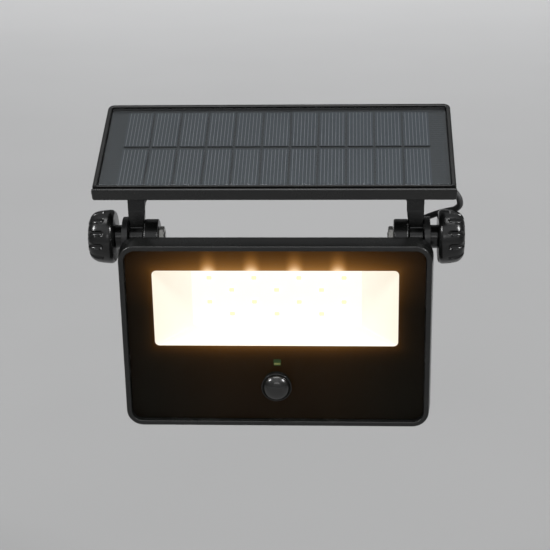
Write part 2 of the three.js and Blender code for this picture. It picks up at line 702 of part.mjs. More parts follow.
function rearHousing() {
  const flange = slab({
    width: SKIRT_WIDTH - 0.7, height: SKIRT_HEIGHT - 0.7, radius: 7, middle: HEAD_MIDDLE,
    front: FLANGE_FRONT, back: BEZEL_BACK,
  });
  const outside = slab({
    width: BOX_WIDTH, height: BOX_HEIGHT, radius: 8, middle: BOX_MIDDLE,
    front: BEZEL_BACK - 0.5, back: BOX_BACK, growX: BOX_DRAFT,
  });
  const inside = slab({
    width: BOX_WIDTH - 2 * BOX_WALL, height: BOX_HEIGHT - 2 * BOX_WALL, radius: 6, middle: BOX_MIDDLE,
    front: FLANGE_FRONT - 1, back: BOX_BACK - BOX_WALL, growX: BOX_DRAFT,
  });
  const ear = housingEar();
  const screwHoles = rodsAt(HOUSING_SCREWS, SCREW_CLEARANCE, FLANGE_FRONT - 1, BEZEL_BACK + 1, 10);
  const hingeBore = rod(BOLT_BORE, -EAR_OUTER - 1, EAR_OUTER + 1, 'x', 16);
  const { x, z } = BUTTON_PLACE;
  const buttonHole = moved(rod(BUTTON_RADIUS + 0.4, 5, BOX_BACK + 1, 'y', 20), x, 0, z);
  const glandHole = moved(rod(3.4, -10, 10, 'x', 16), ...LAMP_GLAND.toArray());
  const body = join(flange, outside, ear, mirrored(ear));
  return cut(body, inside, hingeBore, buttonHole, glandHole, ...screwHoles);
}

function housingScrew([x, z]) {
  const head = BEZEL_BACK + GAP;
  const profile = [
    [0, LEDGE_FRONT + 0.9], [1.2, LEDGE_FRONT + 0.9], [1.2, head], [2.8, head],
    [2.8, head + 1.2], [2.2, head + 1.9], [0, head + 1.9],
  ];
  return moved(turned(profile, 'y', 12), x, 0, z);
}

function lampGland() {
  const bore = LEAD_RADIUS + GAP;
  const profile = [
    [bore, -2.6], [3.1, -2.6], [3.1, 3], [4.4, 3], [4.4, 4.4], [3.2, 5.2],
    [2.7, 9.4], [bore, 9.4], [bore, -2.6],
  ];
  return moved(turned(profile, 'x', 14), ...LAMP_GLAND.toArray());
}

// ---------------------------------------------------------------- lead

function lead(points) {
  const places = points.map((point) => new THREE.Vector3(...point));
  const path = new THREE.CatmullRomCurve3(places, false, 'centripetal');
  const section = new THREE.Shape();
  section.absarc(0, 0, LEAD_RADIUS, 0, 2 * Math.PI);
  const steps = Math.round(path.getLength() / (2.2 * LEAD_RADIUS));
  return new THREE.ExtrudeGeometry(section, { extrudePath: path, steps, curveSegments: LEAD_SIDES });
}

// ---------------------------------------------------------------- assembly

function hingeSet(side, knobShape, boltShape, nutShape) {
  return [
    piece(`${side}_knob`, knobShape, 'knobPlastic'),
    piece(`${side}_clamp_bolt`, boltShape, 'steel'),
    piece(`${side}_lock_nut`, nutShape, 'steel'),
  ];
}

function buildPanel() {
  const panel = new THREE.Group();
  const arm = panelArm();
  const backingBoard = panelInside(PANEL_FLOOR_TOP + GAP, PANEL_FLOOR_TOP + 1.8, GAP);
  const coverSheet = panelInside(PANEL_TOP - 1.7, PANEL_TOP - 0.6, GAP);
  panel.add(
    piece('panel_frame', panelFrame(), 'blackPlastic'),
    piece('solar_backing_board', backingBoard, 'greenBoard'),
    piece('solar_cells', solarCells(), 'silicon'),
    piece('solar_cover_sheet', coverSheet, 'clearSheet'),
    piece('panel_back_cover', panelBackCover(), 'blackPlastic'),
    ...PANEL_SCREWS.map((place, i) => piece(`panel_screw_${i + 1}`, panelScrew(place), 'steel')),
    piece('right_panel_arm', arm, 'blackPlastic'),
    piece('left_panel_arm', mirrored(arm), 'blackPlastic'),
    piece('panel_lead_gland', panelGland(), 'rubber'),
  );
  panel.rotation.x = THREE.MathUtils.degToRad(PANEL_SLOPE);
  return panel;
}

function buildHead() {
  const head = new THREE.Group();
  head.add(
    piece('front_bezel', frontBezel(), 'blackPlastic'),
    piece('front_glass', frontGlass(), 'lensGlass'),
    piece('glass_gasket', glassGasket(), 'rubber'),
    piece('reflector', reflector(), 'reflectorWhite'),
    piece('led_board', ledBoard(), 'whiteBoard'),
    piece('motion_sensor_collar', sensorCollar(), 'blackPlastic'),
    piece('motion_sensor_lens', sensorLens(), 'sensorLens'),
    piece('motion_sensor', motionSensor(), 'steel'),
    piece('sensor_board', sensorBoard(), 'greenBoard'),
    piece('daylight_sensor', daylightSensor(), 'whiteBoard'),
    piece('control_board', controlBoard(), 'greenBoard'),
    ...BOARD_PARTS.map(({ name, middle, size, finish }) => piece(name, boardBlock(middle, size), finish)),
    piece('smoothing_capacitor', smoothingCapacitor(), 'componentBlack'),
    piece('mode_switch', modeSwitch(), 'componentBlack'),
    piece('mode_button', modeButton(), 'rubber'),
    piece('battery_cell', batteryCell(), 'cellWrap'),
    piece('battery_holder', batteryHolder(), 'componentBlack'),
    piece('rear_housing', rearHousing(), 'blackPlastic'),
    ...HOUSING_SCREWS.map((place, i) => piece(`housing_screw_${i + 1}`, housingScrew(place), 'steel')),
    piece('lamp_lead_gland', lampGland(), 'rubber'),
  );
  return head;
}

const hinge = new THREE.Group();
hinge.position.set(0, -AXIS_OUT, AXIS_UP);
const knobShape = knob();
const boltShape = clampBolt();
const nutShape = lockNut();
hinge.add(
  piece('wall_bracket', wallBracket(), 'bracketPaint'),
  ...hingeSet('right', knobShape, boltShape, nutShape),
  ...hingeSet('left', mirrored(knobShape), mirrored(boltShape), mirrored(nutShape)),
  buildPanel(),
  buildHead(),
  piece('lead_panel_side', lead(LEAD_FROM_PANEL), 'rubber'),
  piece('lead_lamp_side', lead(LEAD_TO_LAMP), 'rubber'),
);

const light = new THREE.Group();
light.add(hinge);

export default light;
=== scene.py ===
"""Solar flood light: the visual model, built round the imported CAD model."""

import math

import bmesh
import bpy
from mathutils import Matrix, Vector


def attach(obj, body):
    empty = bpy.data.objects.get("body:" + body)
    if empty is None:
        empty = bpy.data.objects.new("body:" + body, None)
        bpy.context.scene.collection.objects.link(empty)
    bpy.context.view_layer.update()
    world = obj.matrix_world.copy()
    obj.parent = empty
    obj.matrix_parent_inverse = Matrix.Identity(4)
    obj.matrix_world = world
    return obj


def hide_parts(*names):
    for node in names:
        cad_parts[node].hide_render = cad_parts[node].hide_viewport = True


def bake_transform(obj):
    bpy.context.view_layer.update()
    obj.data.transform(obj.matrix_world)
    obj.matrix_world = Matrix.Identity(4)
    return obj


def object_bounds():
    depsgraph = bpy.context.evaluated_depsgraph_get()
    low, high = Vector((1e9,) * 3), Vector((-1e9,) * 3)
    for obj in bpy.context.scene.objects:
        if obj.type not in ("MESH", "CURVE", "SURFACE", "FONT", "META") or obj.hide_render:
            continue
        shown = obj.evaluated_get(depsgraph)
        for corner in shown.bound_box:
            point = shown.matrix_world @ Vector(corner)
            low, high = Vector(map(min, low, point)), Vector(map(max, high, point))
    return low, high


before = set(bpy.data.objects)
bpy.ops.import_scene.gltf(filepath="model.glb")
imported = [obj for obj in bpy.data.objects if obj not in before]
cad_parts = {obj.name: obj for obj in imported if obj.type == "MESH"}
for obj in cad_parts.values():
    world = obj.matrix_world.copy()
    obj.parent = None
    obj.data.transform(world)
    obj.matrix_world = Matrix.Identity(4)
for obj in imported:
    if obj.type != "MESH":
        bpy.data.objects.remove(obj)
cad_low, cad_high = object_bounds()

# ---------------------------------------------------------------- places, in millimetres about the hinge line

MM = 0.001
HINGE = Vector((0.0, -0.062, 0.044))       # middle of the hinge line in the row frame, metres
PANEL_SLOPE = math.radians(22.2)
HEAD_PLACE = Matrix.Translation(HINGE) @ Matrix.Scale(MM, 4)
PANEL_PLACE = Matrix.Translation(HINGE) @ Matrix.Rotation(PANEL_SLOPE, 4, "X") @ Matrix.Scale(MM, 4)
SIDES = (("right", 1), ("left", -1))

NUT_INNER, NUT_OUTER = 61.6, 64.3
EAR_INNER, EAR_OUTER = 64.6, 72.6
ARM_INNER, ARM_OUTER = 72.9, 80.9
BRACKET_INNER, BRACKET_OUTER = 81.2, 84.3
KNOB_NECK_START, KNOB_INNER, KNOB_OUTER = 84.6, 88.8, 103.0
BOLT_RADIUS = 3.0
BORE_RADIUS = 3.4                          # of the arms and ears

AXIS_OUT, AXIS_UP = 62.0, 44.0
PLATE_THICKNESS, PLATE_HEIGHT = 3.0, 36.0
EYE_RADIUS = 11.0
WALL_HOLE_SPACING, WALL_HOLE_RADIUS = 110.0, 2.75

HEAD_WIDTH, HEAD_HEIGHT, HEAD_MIDDLE = 169.6, 107.5, -51.35
HEAD_FRONT, BEZEL_BACK, BEZEL_DRAFT, BEZEL_CORNER = -23.0, -11.5, 1.4, 9.0
RIM_WIDTH = 2.8
GLASS_FRONT, GLASS_BACK, GLASS_INSET = -22.7, -19.7, 3.1
LEDGE_FRONT, LEDGE_BACK, LEDGE_INSET = -18.3, -16.3, 5.8
WINDOW_WIDTH, WINDOW_HEIGHT, WINDOW_MIDDLE, WINDOW_CORNER = 134.6, 44.5, -35.0, 2.5
LED_FLOOR_WIDTH, LED_FLOOR_HEIGHT = 94.6, 33.3
LED_BOARD_WIDTH, LED_BOARD_HEIGHT, LED_BOARD_FRONT, LED_BOARD_THICKNESS = 106, 37, -3.7, 1.6
LED_COLUMNS, LED_ROWS, LED_MIDDLE = 7, 4, -33.6
LED_COLUMN_PITCH, LED_ROW_PITCH = 12.5, 7.2
SENSOR_HEIGHT, LENS_RADIUS, LENS_RISE = -80.8, 7.0, 4.8
COLLAR_RADIUS, LENS_HOLE_RADIUS = 8.5, 8.0
INDICATOR_LOW, INDICATOR_HIGH = (-1.6, -69.4), (2.5, -65.4)
BOX_WIDTH, BOX_HEIGHT, BOX_MIDDLE, BOX_BACK, BOX_DRAFT, BOX_WALL = 130.0, 85.0, -51.5, 12.5, 3.0, 2.2
HOUSING_SCREWS = [(-78.5, -24), (78.5, -24), (-78.5, -82), (78.5, -82), (0, -98.5), (0, -4.2)]
BUTTON_X, BUTTON_Z = 40.0, -30.0

PANEL_WIDTH, PANEL_DEPTH, PANEL_MIDDLE = 194.2, 75.6, 30.2
PANEL_TOP, PANEL_BOTTOM, PANEL_RIM, PANEL_CORNER = 40.3, 32.3, 2.6, 4.0
PANEL_FLOOR_TOP, PANEL_FLOOR_BOTTOM = 35.8, 34.6
SOLAR_COLUMNS, SOLAR_PITCH, SOLAR_CELL_WIDTH = 11, 15.45, 14.3
SOLAR_ROWS = ((-3.0, 29.1), (31.6, 62.1))
CELL_TOP = 38.3
FINGERS_PER_CELL, FINGER_PITCH = 7, 1.95
PANEL_SCREWS = [(-88, -1), (88, -1), (-88, 60.5), (88, 60.5)]
PANEL_GLAND_X, PANEL_GLAND_Y = 76.0, 40.0

LEAD_RADIUS = 1.75
LEAD_FROM_PANEL = [
    (76, 25.3, 43.8), (76, 27, 39.7), (76.3, 28.4, 35.6), (78.3, 28.4, 31.6), (82.4, 25.8, 28.4),
    (87.4, 21.8, 26.2), (92.4, 17.4, 24.6), (97, 13.2, 22.6), (100.3, 10.8, 19.2), (101.2, 10.7, 15),
    (99, 12.4, 11.8), (95, 14.8, 9.9), (90.8, 17.2, 8), (86.8, 19.2, 5.9), (82.8, 20.65, 3.72),
]
LEAD_TO_LAMP = [
    (79.7, 21.1, 1.6), (77.6, 20.2, -2.8), (76.9, 17.2, -8.2), (76.4, 12.8, -13.2),
    (75.3, 8.4, -17.2), (72.9, 5.7, -19.4), (69.9, 5, -20), (66.5, 5, -20), (61.5, 5, -20),
]
LAMP_GLAND = (61.0, 5.0, -20.0)


def in_frame(point):
    """A point about the hinge line, in millimetres, as a place in the row frame, in metres."""
    return HEAD_PLACE @ Vector(point)


# ---------------------------------------------------------------- camera

CAMERA_PLACE = (41.8, -741.7, 266.4)
CAMERA_YAW, CAMERA_PITCH, CAMERA_ROLL = math.radians(-3.30), math.radians(21.27), math.radians(-1.11)


def make_camera():
    data = bpy.data.cameras.new("camera")
    data.sensor_width = 36
    data.lens = 93.6
    data.clip_start, data.clip_end = 0.02, 60
    forward = Vector((
        math.sin(CAMERA_YAW) * math.cos(CAMERA_PITCH),
        math.cos(CAMERA_YAW) * math.cos(CAMERA_PITCH),
        -math.sin(CAMERA_PITCH),
    ))
    level = Vector((math.cos(CAMERA_YAW), -math.sin(CAMERA_YAW), 0))
    upright = level.cross(forward)
    right = level * math.cos(CAMERA_ROLL) + upright * math.sin(CAMERA_ROLL)
    up = upright * math.cos(CAMERA_ROLL) - level * math.sin(CAMERA_ROLL)
    turn = Matrix((right, up, -forward)).transposed().to_4x4()
    camera = bpy.data.objects.new("camera", data)
    camera.matrix_world = Matrix.Translation(in_frame(CAMERA_PLACE)) @ turn
    bpy.context.collection.objects.link(camera)
    bpy.context.scene.camera = camera


make_camera()

# ---------------------------------------------------------------- material nodes


class Nodes:
    """The nodes of a new material, or of a new world, and short calls that add to them."""

    def __init__(self, name, made_in=bpy.data.materials):
        self.made = made_in.new(name)
        self.made.use_nodes = True
        self.tree = self.made.node_tree
        self.main = self.tree.nodes.get("Principled BSDF")

    def add(self, kind, inputs=(), **settings):
        """A new node with its settings, and what goes into its inputs, each by its name or number."""
        node = self.tree.nodes.new(kind)
        for key, value in settings.items():
            setattr(node, key, value)
        for key, value in dict(inputs).items():
            self.feed(node.inputs[key], value)
        return node

    def feed(self, socket, value):
        """Puts a number, a colour, or another node's output into a socket."""
        if isinstance(value, bpy.types.NodeSocket):
            self.tree.links.new(value, socket)
        elif isinstance(value, tuple) and len(value) == 3 and len(socket.default_value) == 4:
            socket.default_value = (*value, 1)
        else:
            socket.default_value = value

    def place(self):
        """The point of the row frame at rest, in metres, carried along by the piece."""
        return self.add("ShaderNodeTexCoord").outputs["Object"]

    def split(self):
        """The X, Y and Z of that point."""
        return self.add("ShaderNodeSeparateXYZ", {0: self.place()}).outputs

    def noise(self, scale, detail=2.0, place=None):
        inputs = {"Vector": place or self.place(), "Scale": scale, "Detail": detail}
        return self.add("ShaderNodeTexNoise", inputs).outputs["Fac"]

    def stretched(self, scale, detail):
        """Noise drawn out along an axis: the scale says how close its marks lie along X, Y and Z."""
        mapping = self.add("ShaderNodeMapping", {"Vector": self.place(), "Scale": scale})
        return self.noise(1.0, detail, mapping.outputs["Vector"])

    def cells(self, scale, feature="F1"):
        inputs = {"Vector": self.place(), "Scale": scale}
        return self.add("ShaderNodeTexVoronoi", inputs, feature=feature).outputs

    def math(self, operation, *values):
        return self.add("ShaderNodeMath", enumerate(values), operation=operation).outputs[0]

    def spread(self, value, low, high, from_low=0.0, from_high=1.0):
        """A value between from_low and from_high, stretched to run from low to high."""
        numbers = (value, from_low, from_high, low, high)
        return self.add("ShaderNodeMapRange", enumerate(numbers)).outputs["Result"]

    def colours(self, value, *stops):
        """A colour ramp: each stop is a place from 0 to 1 and a colour."""
        node = self.add("ShaderNodeValToRGB", {"Fac": value})
        elements = node.color_ramp.elements
        while len(elements) < len(stops):
            elements.new(0.5)
        for element, (place, colour) in zip(elements, stops):
            element.position = place
            element.color = (*colour, 1)
        return node.outputs["Color"]

    def mixed(self, share, first, second):
        """Two colours mixed by a share. Sockets 6 and 7 and output 2 are the node's colour ones."""
        return self.add("ShaderNodeMix", {0: share, 6: first, 7: second}, data_type="RGBA").outputs[2]

    def bump(self, height, distance, strength=1.0):
        """Relief of the given depth in millimetres."""
        inputs = {"Height": height, "Distance": distance * MM, "Strength": strength}
        self.set(Normal=self.add("ShaderNodeBump", inputs).outputs["Normal"])

    def set(self, **values):
        """Sets inputs of the Principled shader; an underscore in a name stands for a space."""
        for key, value in values.items():
            self.feed(self.main.inputs[key.replace("_", " ")], value)
        return self.made


# ---------------------------------------------------------------- materials


def moulded(name, dark, light, rough, grain, depth, sheen=0.0):
    """Black plastic, paint or rubber: a fine moulded grain, slow colour change and uneven gloss.

    Rough is the lowest and highest roughness. Grain and depth are its width and relief in millimetres.
    """
    n = Nodes(name)
    cloud = n.noise(55, 3)
    fine = n.noise(1000 / grain, 3)
    n.bump(fine, depth)
    gloss = n.math("ADD", n.math("MULTIPLY", cloud, 0.6), n.math("MULTIPLY", fine, 0.4))
    return n.set(
        Base_Color=n.colours(cloud, (0.3, dark), (0.7, light)),
        Roughness=n.spread(gloss, *rough, 0.3, 0.7),
        Sheen_Weight=sheen,
    )


def metal(name, colour, rough, marks_scale):
    """Bright metal with fine marks, closest together along the axis with the largest scale."""
    n = Nodes(name)
    marks = n.stretched(marks_scale, 4)
    n.bump(marks, 0.02, 0.6)
    return n.set(
        Base_Color=n.mixed(n.noise(300, 2), colour, tuple(0.82 * c for c in colour)),
        Metallic=1.0,
        Roughness=n.spread(marks, rough, rough + 0.16, 0.3, 0.7),
    )


def clear(name, tint, ior, roughness):
    """Clear sheet or glass: the front gives a Fresnel gloss, everything else shows through."""
    n = Nodes(name)
    n.tree.nodes.remove(n.main)
    see = n.add("ShaderNodeBsdfTransparent", {"Color": tint})
    uneven = n.spread(n.noise(30, 2), roughness, roughness + 0.03)
    gloss = n.add("ShaderNodeBsdfGlossy", {"Roughness": uneven})
    edge = n.add("ShaderNodeFresnel", {"IOR": ior})
    front = n.math("SUBTRACT", 1.0, n.add("ShaderNodeNewGeometry").outputs["Backfacing"])
    share = n.math("MULTIPLY", edge.outputs[0], front)
    mix = n.add("ShaderNodeMixShader", {0: share, 1: see.outputs[0], 2: gloss.outputs[0]})
    n.feed(n.tree.nodes["Material Output"].inputs["Surface"], mix.outputs[0])
    return n.made


def silicon():
    """Dark blue-grey cells: crystal flakes, slightly bluer towards the panel's right end."""
    n = Nodes("silicon")
    left_end, right_end, flake = (0.0185, 0.0205, 0.0225), (0.0200, 0.0240, 0.0295), (0.0208, 0.0243, 0.0283)
    level = n.add("ShaderNodeRGBToBW", {0: n.cells(260)["Color"]})
    across = n.spread(n.split()[0], 0.0, 1.0, -0.09, 0.09)
    return n.set(
        Base_Color=n.mixed(n.spread(level.outputs[0], 0.0, 0.6), n.mixed(across, left_end, right_end), flake),
        Roughness=n.spread(n.noise(120, 2), 0.30, 0.36),
    )


HALO_PITCH, HALO_MIDDLE = 23.6, -1.0       # painted glow spots over the window, one for each LED of the top row


def glow_distance(n):
    """Millimetres from the edge of the light window, and the place across it."""
    x, _, z = n.split()
    middle_z = HINGE.z + WINDOW_MIDDLE * MM
    beyond_x = n.math("SUBTRACT", n.math("ABSOLUTE", x), WINDOW_WIDTH / 2 * MM)
    off_z = n.math("SUBTRACT", z, middle_z)
    beyond_z = n.math("SUBTRACT", n.math("ABSOLUTE", off_z), WINDOW_HEIGHT / 2 * MM)
    flat = [n.math("MAXIMUM", value, 0.0) for value in (beyond_x, beyond_z)]
    squares = n.math("ADD", n.math("POWER", flat[0], 2.0), n.math("POWER", flat[1], 2.0))
    return n.math("MULTIPLY", n.math("SQRT", squares), 1000.0), x, off_z


def falloff(n, distance, reach):
    """1 at no distance, and less by a factor e for each reach."""
    return n.math("POWER", math.exp(-1 / reach), distance)


def ink_with_painted_glow():
    """Black print behind the glass, with a painted warm glow round the window and painted halos over the top
    row of LEDs.
    """
    n = Nodes("ink_with_painted_glow")
    distance, x, off_z = glow_distance(n)
    from_middle = n.math("ABSOLUTE", x)
    middle = n.spread(from_middle, 1.0, 0.25, 0.030, 0.070)
    above = n.spread(off_z, 0.0, 1.0, 0.0, WINDOW_HEIGHT / 2 * MM)
    from_lamp = n.math("SUBTRACT", x, (HALO_MIDDLE + HALO_PITCH / 2) * MM)
    wave = n.math("COSINE", n.math("MULTIPLY", from_lamp, 2 * math.pi / (HALO_PITCH * MM)))
    lamps = n.math("POWER", n.math("MAXIMUM", wave, 0.0), 2.0)
    in_row = n.math("LESS_THAN", from_middle, 0.0450)
    halo = n.math("MULTIPLY", n.math("MULTIPLY", lamps, in_row), above)
    layers = (                             # painted glow: strength at the edge, reach in millimetres, and where it shows
        (0.12, 3.0, middle),
        (0.013, 40.0, middle),
        (0.24, 7.0, n.math("MULTIPLY", middle, above)),
        (0.80, 3.3, halo),
    )
    # painted glow: the layers add up to an emission on the print that stands in for the window's light
    # spreading round it
    total = 0.0
    for strength, reach, share in layers:
        layer = n.math("MULTIPLY", falloff(n, distance, reach), share)
        total = n.math("ADD", n.math("MULTIPLY", layer, strength), total)
    dark, light = (0.0018, 0.0018, 0.0006), (0.0024, 0.0024, 0.0010)
    return n.set(
        Base_Color=n.colours(n.noise(60, 1), (0.3, dark), (0.7, light)),
        Roughness=0.5,
        Specular_IOR_Level=0.1,
        Emission_Color=n.colours(
            total, (0.0, (1.0, 0.37, 0.05)), (0.3, (1.0, 0.45, 0.11)), (0.95, (1.0, 0.66, 0.37)),
        ),
        Emission_Strength=total,
    )


def white_with_painted_glow(name, low, high, strength):
    """White plastic with a painted glow that stands for the LEDs' light on it, warmer at the sides of the
    window than at its middle.
    """
    n = Nodes(name)
    to_side = n.spread(n.math("ABSOLUTE", n.split()[0]), 0.0, 1.0, 0.040, 0.067)
    fine = n.noise(700, 2)
    n.bump(fine, 0.02)
    return n.set(
        Base_Color=(0.42, 0.40, 0.35),
        Roughness=n.spread(fine, 0.35, 0.45),
        Emission_Color=n.mixed(to_side, high, low),
        Emission_Strength=strength,
    )


def painted_glow_part(name, base, light, strength):
    """A small part seen through the window above the sensor, with a little painted glow."""
    n = Nodes(name)
    fine = n.noise(900, 2)
    n.bump(fine, 0.02)
    rough = n.spread(fine, 0.35, 0.5)
    return n.set(Base_Color=base, Roughness=rough, Emission_Color=light, Emission_Strength=strength)


def led_glow():
    """Phosphor of a lit LED, in fine grains."""
    n = Nodes("led_phosphor")
    grains = n.cells(2500)["Distance"]
    return n.set(
        Base_Color=(0.30, 0.25, 0.12),
        Roughness=0.5,
        Emission_Color=n.colours(grains, (0.0, (1.0, 0.93, 0.66)), (1.0, (1.0, 0.88, 0.55))),
        Emission_Strength=0.95,
    )


def circuit_board(name, mask, trace, scale):
    """Solder mask over copper: paler tracks and pads under a glossy coat."""
    n = Nodes(name)
    inputs = {"Vector": n.place(), "Scale": scale, "Mortar Size": 0.06}
    tracks = n.add("ShaderNodeTexBrick", inputs).outputs["Fac"]
    n.bump(tracks, 0.03)
    return n.set(
        Base_Color=n.mixed(tracks, mask, trace),
        Roughness=n.spread(n.noise(400, 2), 0.25, 0.45),
        Coat_Weight=0.4,
    )


def dome_plastic():
    """Dark smoked lens of the motion sensor, with the faint facets moulded inside it."""
    n = Nodes("sensor_dome")
    facets = n.cells(420, "DISTANCE_TO_EDGE")["Distance"]
    n.bump(n.spread(facets, 0.0, 1.0, 0.0, 0.25), 0.05, 0.35)
    return n.set(
        Base_Color=n.colours(facets, (0.0, (0.005, 0.005, 0.0045)), (0.2, (0.009, 0.009, 0.008))),
        Roughness=0.24,
        Coat_Weight=0.5,
        Coat_Roughness=0.10,
    )


def wrap_film():
    """Shrunk film round the battery cell: glossy, with faint lengthwise creases."""
    n = Nodes("cell_wrap")
    creases = n.stretched((60, 900, 900), 2)
    n.bump(creases, 0.08)
    return n.set(Base_Color=(0.02, 0.16, 0.45), Roughness=n.spread(creases, 0.25, 0.4), Coat_Weight=0.3)


BLACK_PLASTIC = moulded("black_plastic", (0.0066, 0.0068, 0.0066), (0.0092, 0.0095, 0.0090),
                        rough=(0.22, 0.30), grain=0.35, depth=0.012)
FRAME_PLASTIC = moulded("frame_plastic", (0.0068, 0.0070, 0.0068), (0.0092, 0.0095, 0.0090),
                        rough=(0.20, 0.30), grain=0.30, depth=0.008)
KNOB_PLASTIC = moulded("knob_plastic", (0.0050, 0.0051, 0.0050), (0.0066, 0.0068, 0.0066),
                       rough=(0.20, 0.23), grain=0.40, depth=0.006)
BRACKET_PAINT = moulded("bracket_paint", (0.0080, 0.0082, 0.0084), (0.0110, 0.0112, 0.0114),
                        rough=(0.24, 0.36), grain=0.90, depth=0.030)
RUBBER = moulded("rubber", (0.0075, 0.0075, 0.0078), (0.0110, 0.0110, 0.0114),
                 rough=(0.55, 0.72), grain=0.25, depth=0.020, sheen=0.05)
JACKET = moulded("lead_jacket", (0.036, 0.0363, 0.0368), (0.044, 0.0443, 0.0448),
                 rough=(0.34, 0.44), grain=0.50, depth=0.015)
WHITE_NYLON = moulded("white_nylon", (0.62, 0.60, 0.54), (0.70, 0.68, 0.62),
                      rough=(0.35, 0.5), grain=0.5, depth=0.015)
CHIP_BLACK = moulded("chip_black", (0.010, 0.010, 0.010), (0.016, 0.016, 0.016),
                     rough=(0.5, 0.65), grain=0.3, depth=0.020)
STEEL = metal("zinc_steel", (0.30, 0.295, 0.28), rough=0.16, marks_scale=(9000, 250, 250))
SCREW_STEEL = metal("screw_steel", (0.50, 0.50, 0.50), rough=0.28, marks_scale=(250, 250, 6000))
FINGER_SILVER = metal("finger_silver", (0.25, 0.255, 0.26), rough=0.5, marks_scale=(3000, 3000, 3000))
COVER_SHEET = clear("cover_sheet", (0.93, 0.95, 0.96), ior=1.45, roughness=0.05)
LAMP_GLASS = clear("lamp_glass", (0.985, 0.99, 0.985), ior=1.11, roughness=0.03)
SENSOR_DOME = dome_plastic()
SILICON = silicon()
INK_WITH_PAINTED_GLOW = ink_with_painted_glow()
# painted glow: the reflector, board and LED bodies emit in place of the light the LEDs throw on them
REFLECTOR = white_with_painted_glow("reflector_white", low=(1.0, 0.88, 0.74), high=(1.0, 0.97, 0.86), strength=0.76)
LED_BOARD_WHITE = white_with_painted_glow("led_board_white", low=(1.0, 0.97, 0.88), high=(1.0, 0.985, 0.92), strength=0.88)
LED_BODY = white_with_painted_glow("led_body", low=(1.0, 0.97, 0.90), high=(1.0, 0.99, 0.95), strength=1.1)
LED_PHOSPHOR = led_glow()
# painted glow on the indicator's board and bar
INDICATOR_GREEN = painted_glow_part("indicator_green", (0.008, 0.034, 0.004), light=(0.03, 0.09, 0.006), strength=0.15)
INDICATOR_CREAM = painted_glow_part("indicator_cream", (0.16, 0.17, 0.05), light=(0.4, 0.4, 0.1), strength=0.08)
GREEN_BOARD = circuit_board("green_board", (0.010, 0.085, 0.024), (0.020, 0.150, 0.045), scale=350)
BLACK_BOARD = circuit_board("black_board", (0.0095, 0.0105, 0.0110), (0.0120, 0.0130, 0.0140), scale=150)
CELL_WRAP = wrap_film()

# ---------------------------------------------------------------- meshes

CORNER_STEPS = 8                           # lengths in a rounded corner
ROUND = 48                                 # corners round a turned shape


def piece(name, bm, body, finish, place=HEAD_PLACE, replaced=(), bevel=0.0, segments=3, sharp=32):
    """Turns a bmesh drawn in millimetres into a piece, which rides on a body if one is given."""
    settle(bm)
    bm.transform(place)
    made = as_object(name, bm)
    made.data.materials.append(finish)
    smooth(made, sharp)
    if bevel:
        round_edges(made, bevel, segments)
    if body:
        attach(made, body)
    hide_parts(*replaced)
    return made


def settle(bm):
    """Joins corners that fall together and turns all faces outwards."""
    bmesh.ops.remove_doubles(bm, verts=bm.verts, dist=1e-5)
    bmesh.ops.recalc_face_normals(bm, faces=bm.faces)


def as_object(name, bm):
    """A new object with the shape of a bmesh, which is freed."""
    mesh = bpy.data.meshes.new(name)
    bm.to_mesh(mesh)
    bm.free()
    made = bpy.data.objects.new(name, mesh)
    bpy.context.collection.objects.link(made)
    return made


def smooth(made, sharp):
    """Smooth shading, except at edges sharper than an angle in degrees."""
    made.data.polygons.foreach_set("use_smooth", [True] * len(made.data.polygons))
    made.data.set_sharp_from_angle(angle=math.radians(sharp))


def round_edges(made, width, segments=3):
    """Rounds the edges that turn by more than 35 degrees, by a width in millimetres."""
    rounding = made.modifiers.new("rounding", "BEVEL")
    rounding.width = width * MM
    rounding.segments = segments
    rounding.limit_method = "ANGLE"
    rounding.angle_limit = math.radians(35)
    rounding.harden_normals = True
    rounding.use_clamp_overlap = True


def filleted(corners, closed=False, steps=4):
    """An outline with its corners rounded; a corner is (u, v) or (u, v, radius)."""
    result = []
    count = len(corners)
    for i, corner in enumerate(corners):
        point = Vector(corner[:2])
        radius = corner[2] if len(corner) > 2 else 0.0
        if radius == 0.0 or (not closed and i in (0, count - 1)):
            result.append(tuple(point))
            continue
        before = Vector(corners[i - 1][:2]) - point
        after = Vector(corners[(i + 1) % count][:2]) - point
        start = point + before.normalized() * min(radius, before.length * 0.49)
        end = point + after.normalized() * min(radius, after.length * 0.49)
        for step in range(steps + 1):
            s = step / steps
            result.append(tuple(start * (1 - s) ** 2 + point * 2 * s * (1 - s) + end * s ** 2))
    return result


def arc(radius, start, end, steps, middle=(0, 0)):
    """Points on part of a circle, from one angle to another."""
    turns = [start + (end - start) * i / steps for i in range(steps + 1)]
    return [(middle[0] + radius * math.cos(turn), middle[1] + radius * math.sin(turn)) for turn in turns]


def circle(radius):
    return arc(radius, 0, 2 * math.pi, ROUND)[:-1]


def rounded_rectangle(width, height, radius, steps=CORNER_STEPS):
    """Points round a rectangle with rounded corners, about its middle."""
    points = []
    for side_x, side_y, start in ((1, -1, -90), (1, 1, 0), (-1, 1, 90), (-1, -1, 180)):
        middle = (side_x * (width / 2 - radius), side_y * (height / 2 - radius))
        points += arc(radius, math.radians(start), math.radians(start + 90), steps, middle)
    return points


def inset_rectangle(width, height, corner, inset, tightest):
    """A rounded rectangle made smaller all round, with corners no tighter than a given radius."""
    return rounded_rectangle(width - 2 * inset, height - 2 * inset, max(corner - inset, tightest))


def upright(outline, depth, middle=0.0):
    """A flat outline stood up to face the front: across in X, up in Z, at one depth in Y."""
    return [(x, depth, middle + z) for x, z in outline]


def level(outline, height, middle=0.0):
    """A flat outline laid level, at one height in Z."""
    return [(x, middle + y, height) for x, y in outline]


def along_x(outline, x):
    """A flat outline in Y and Z, at one place in X."""
    return [(x, y, z) for y, z in outline]


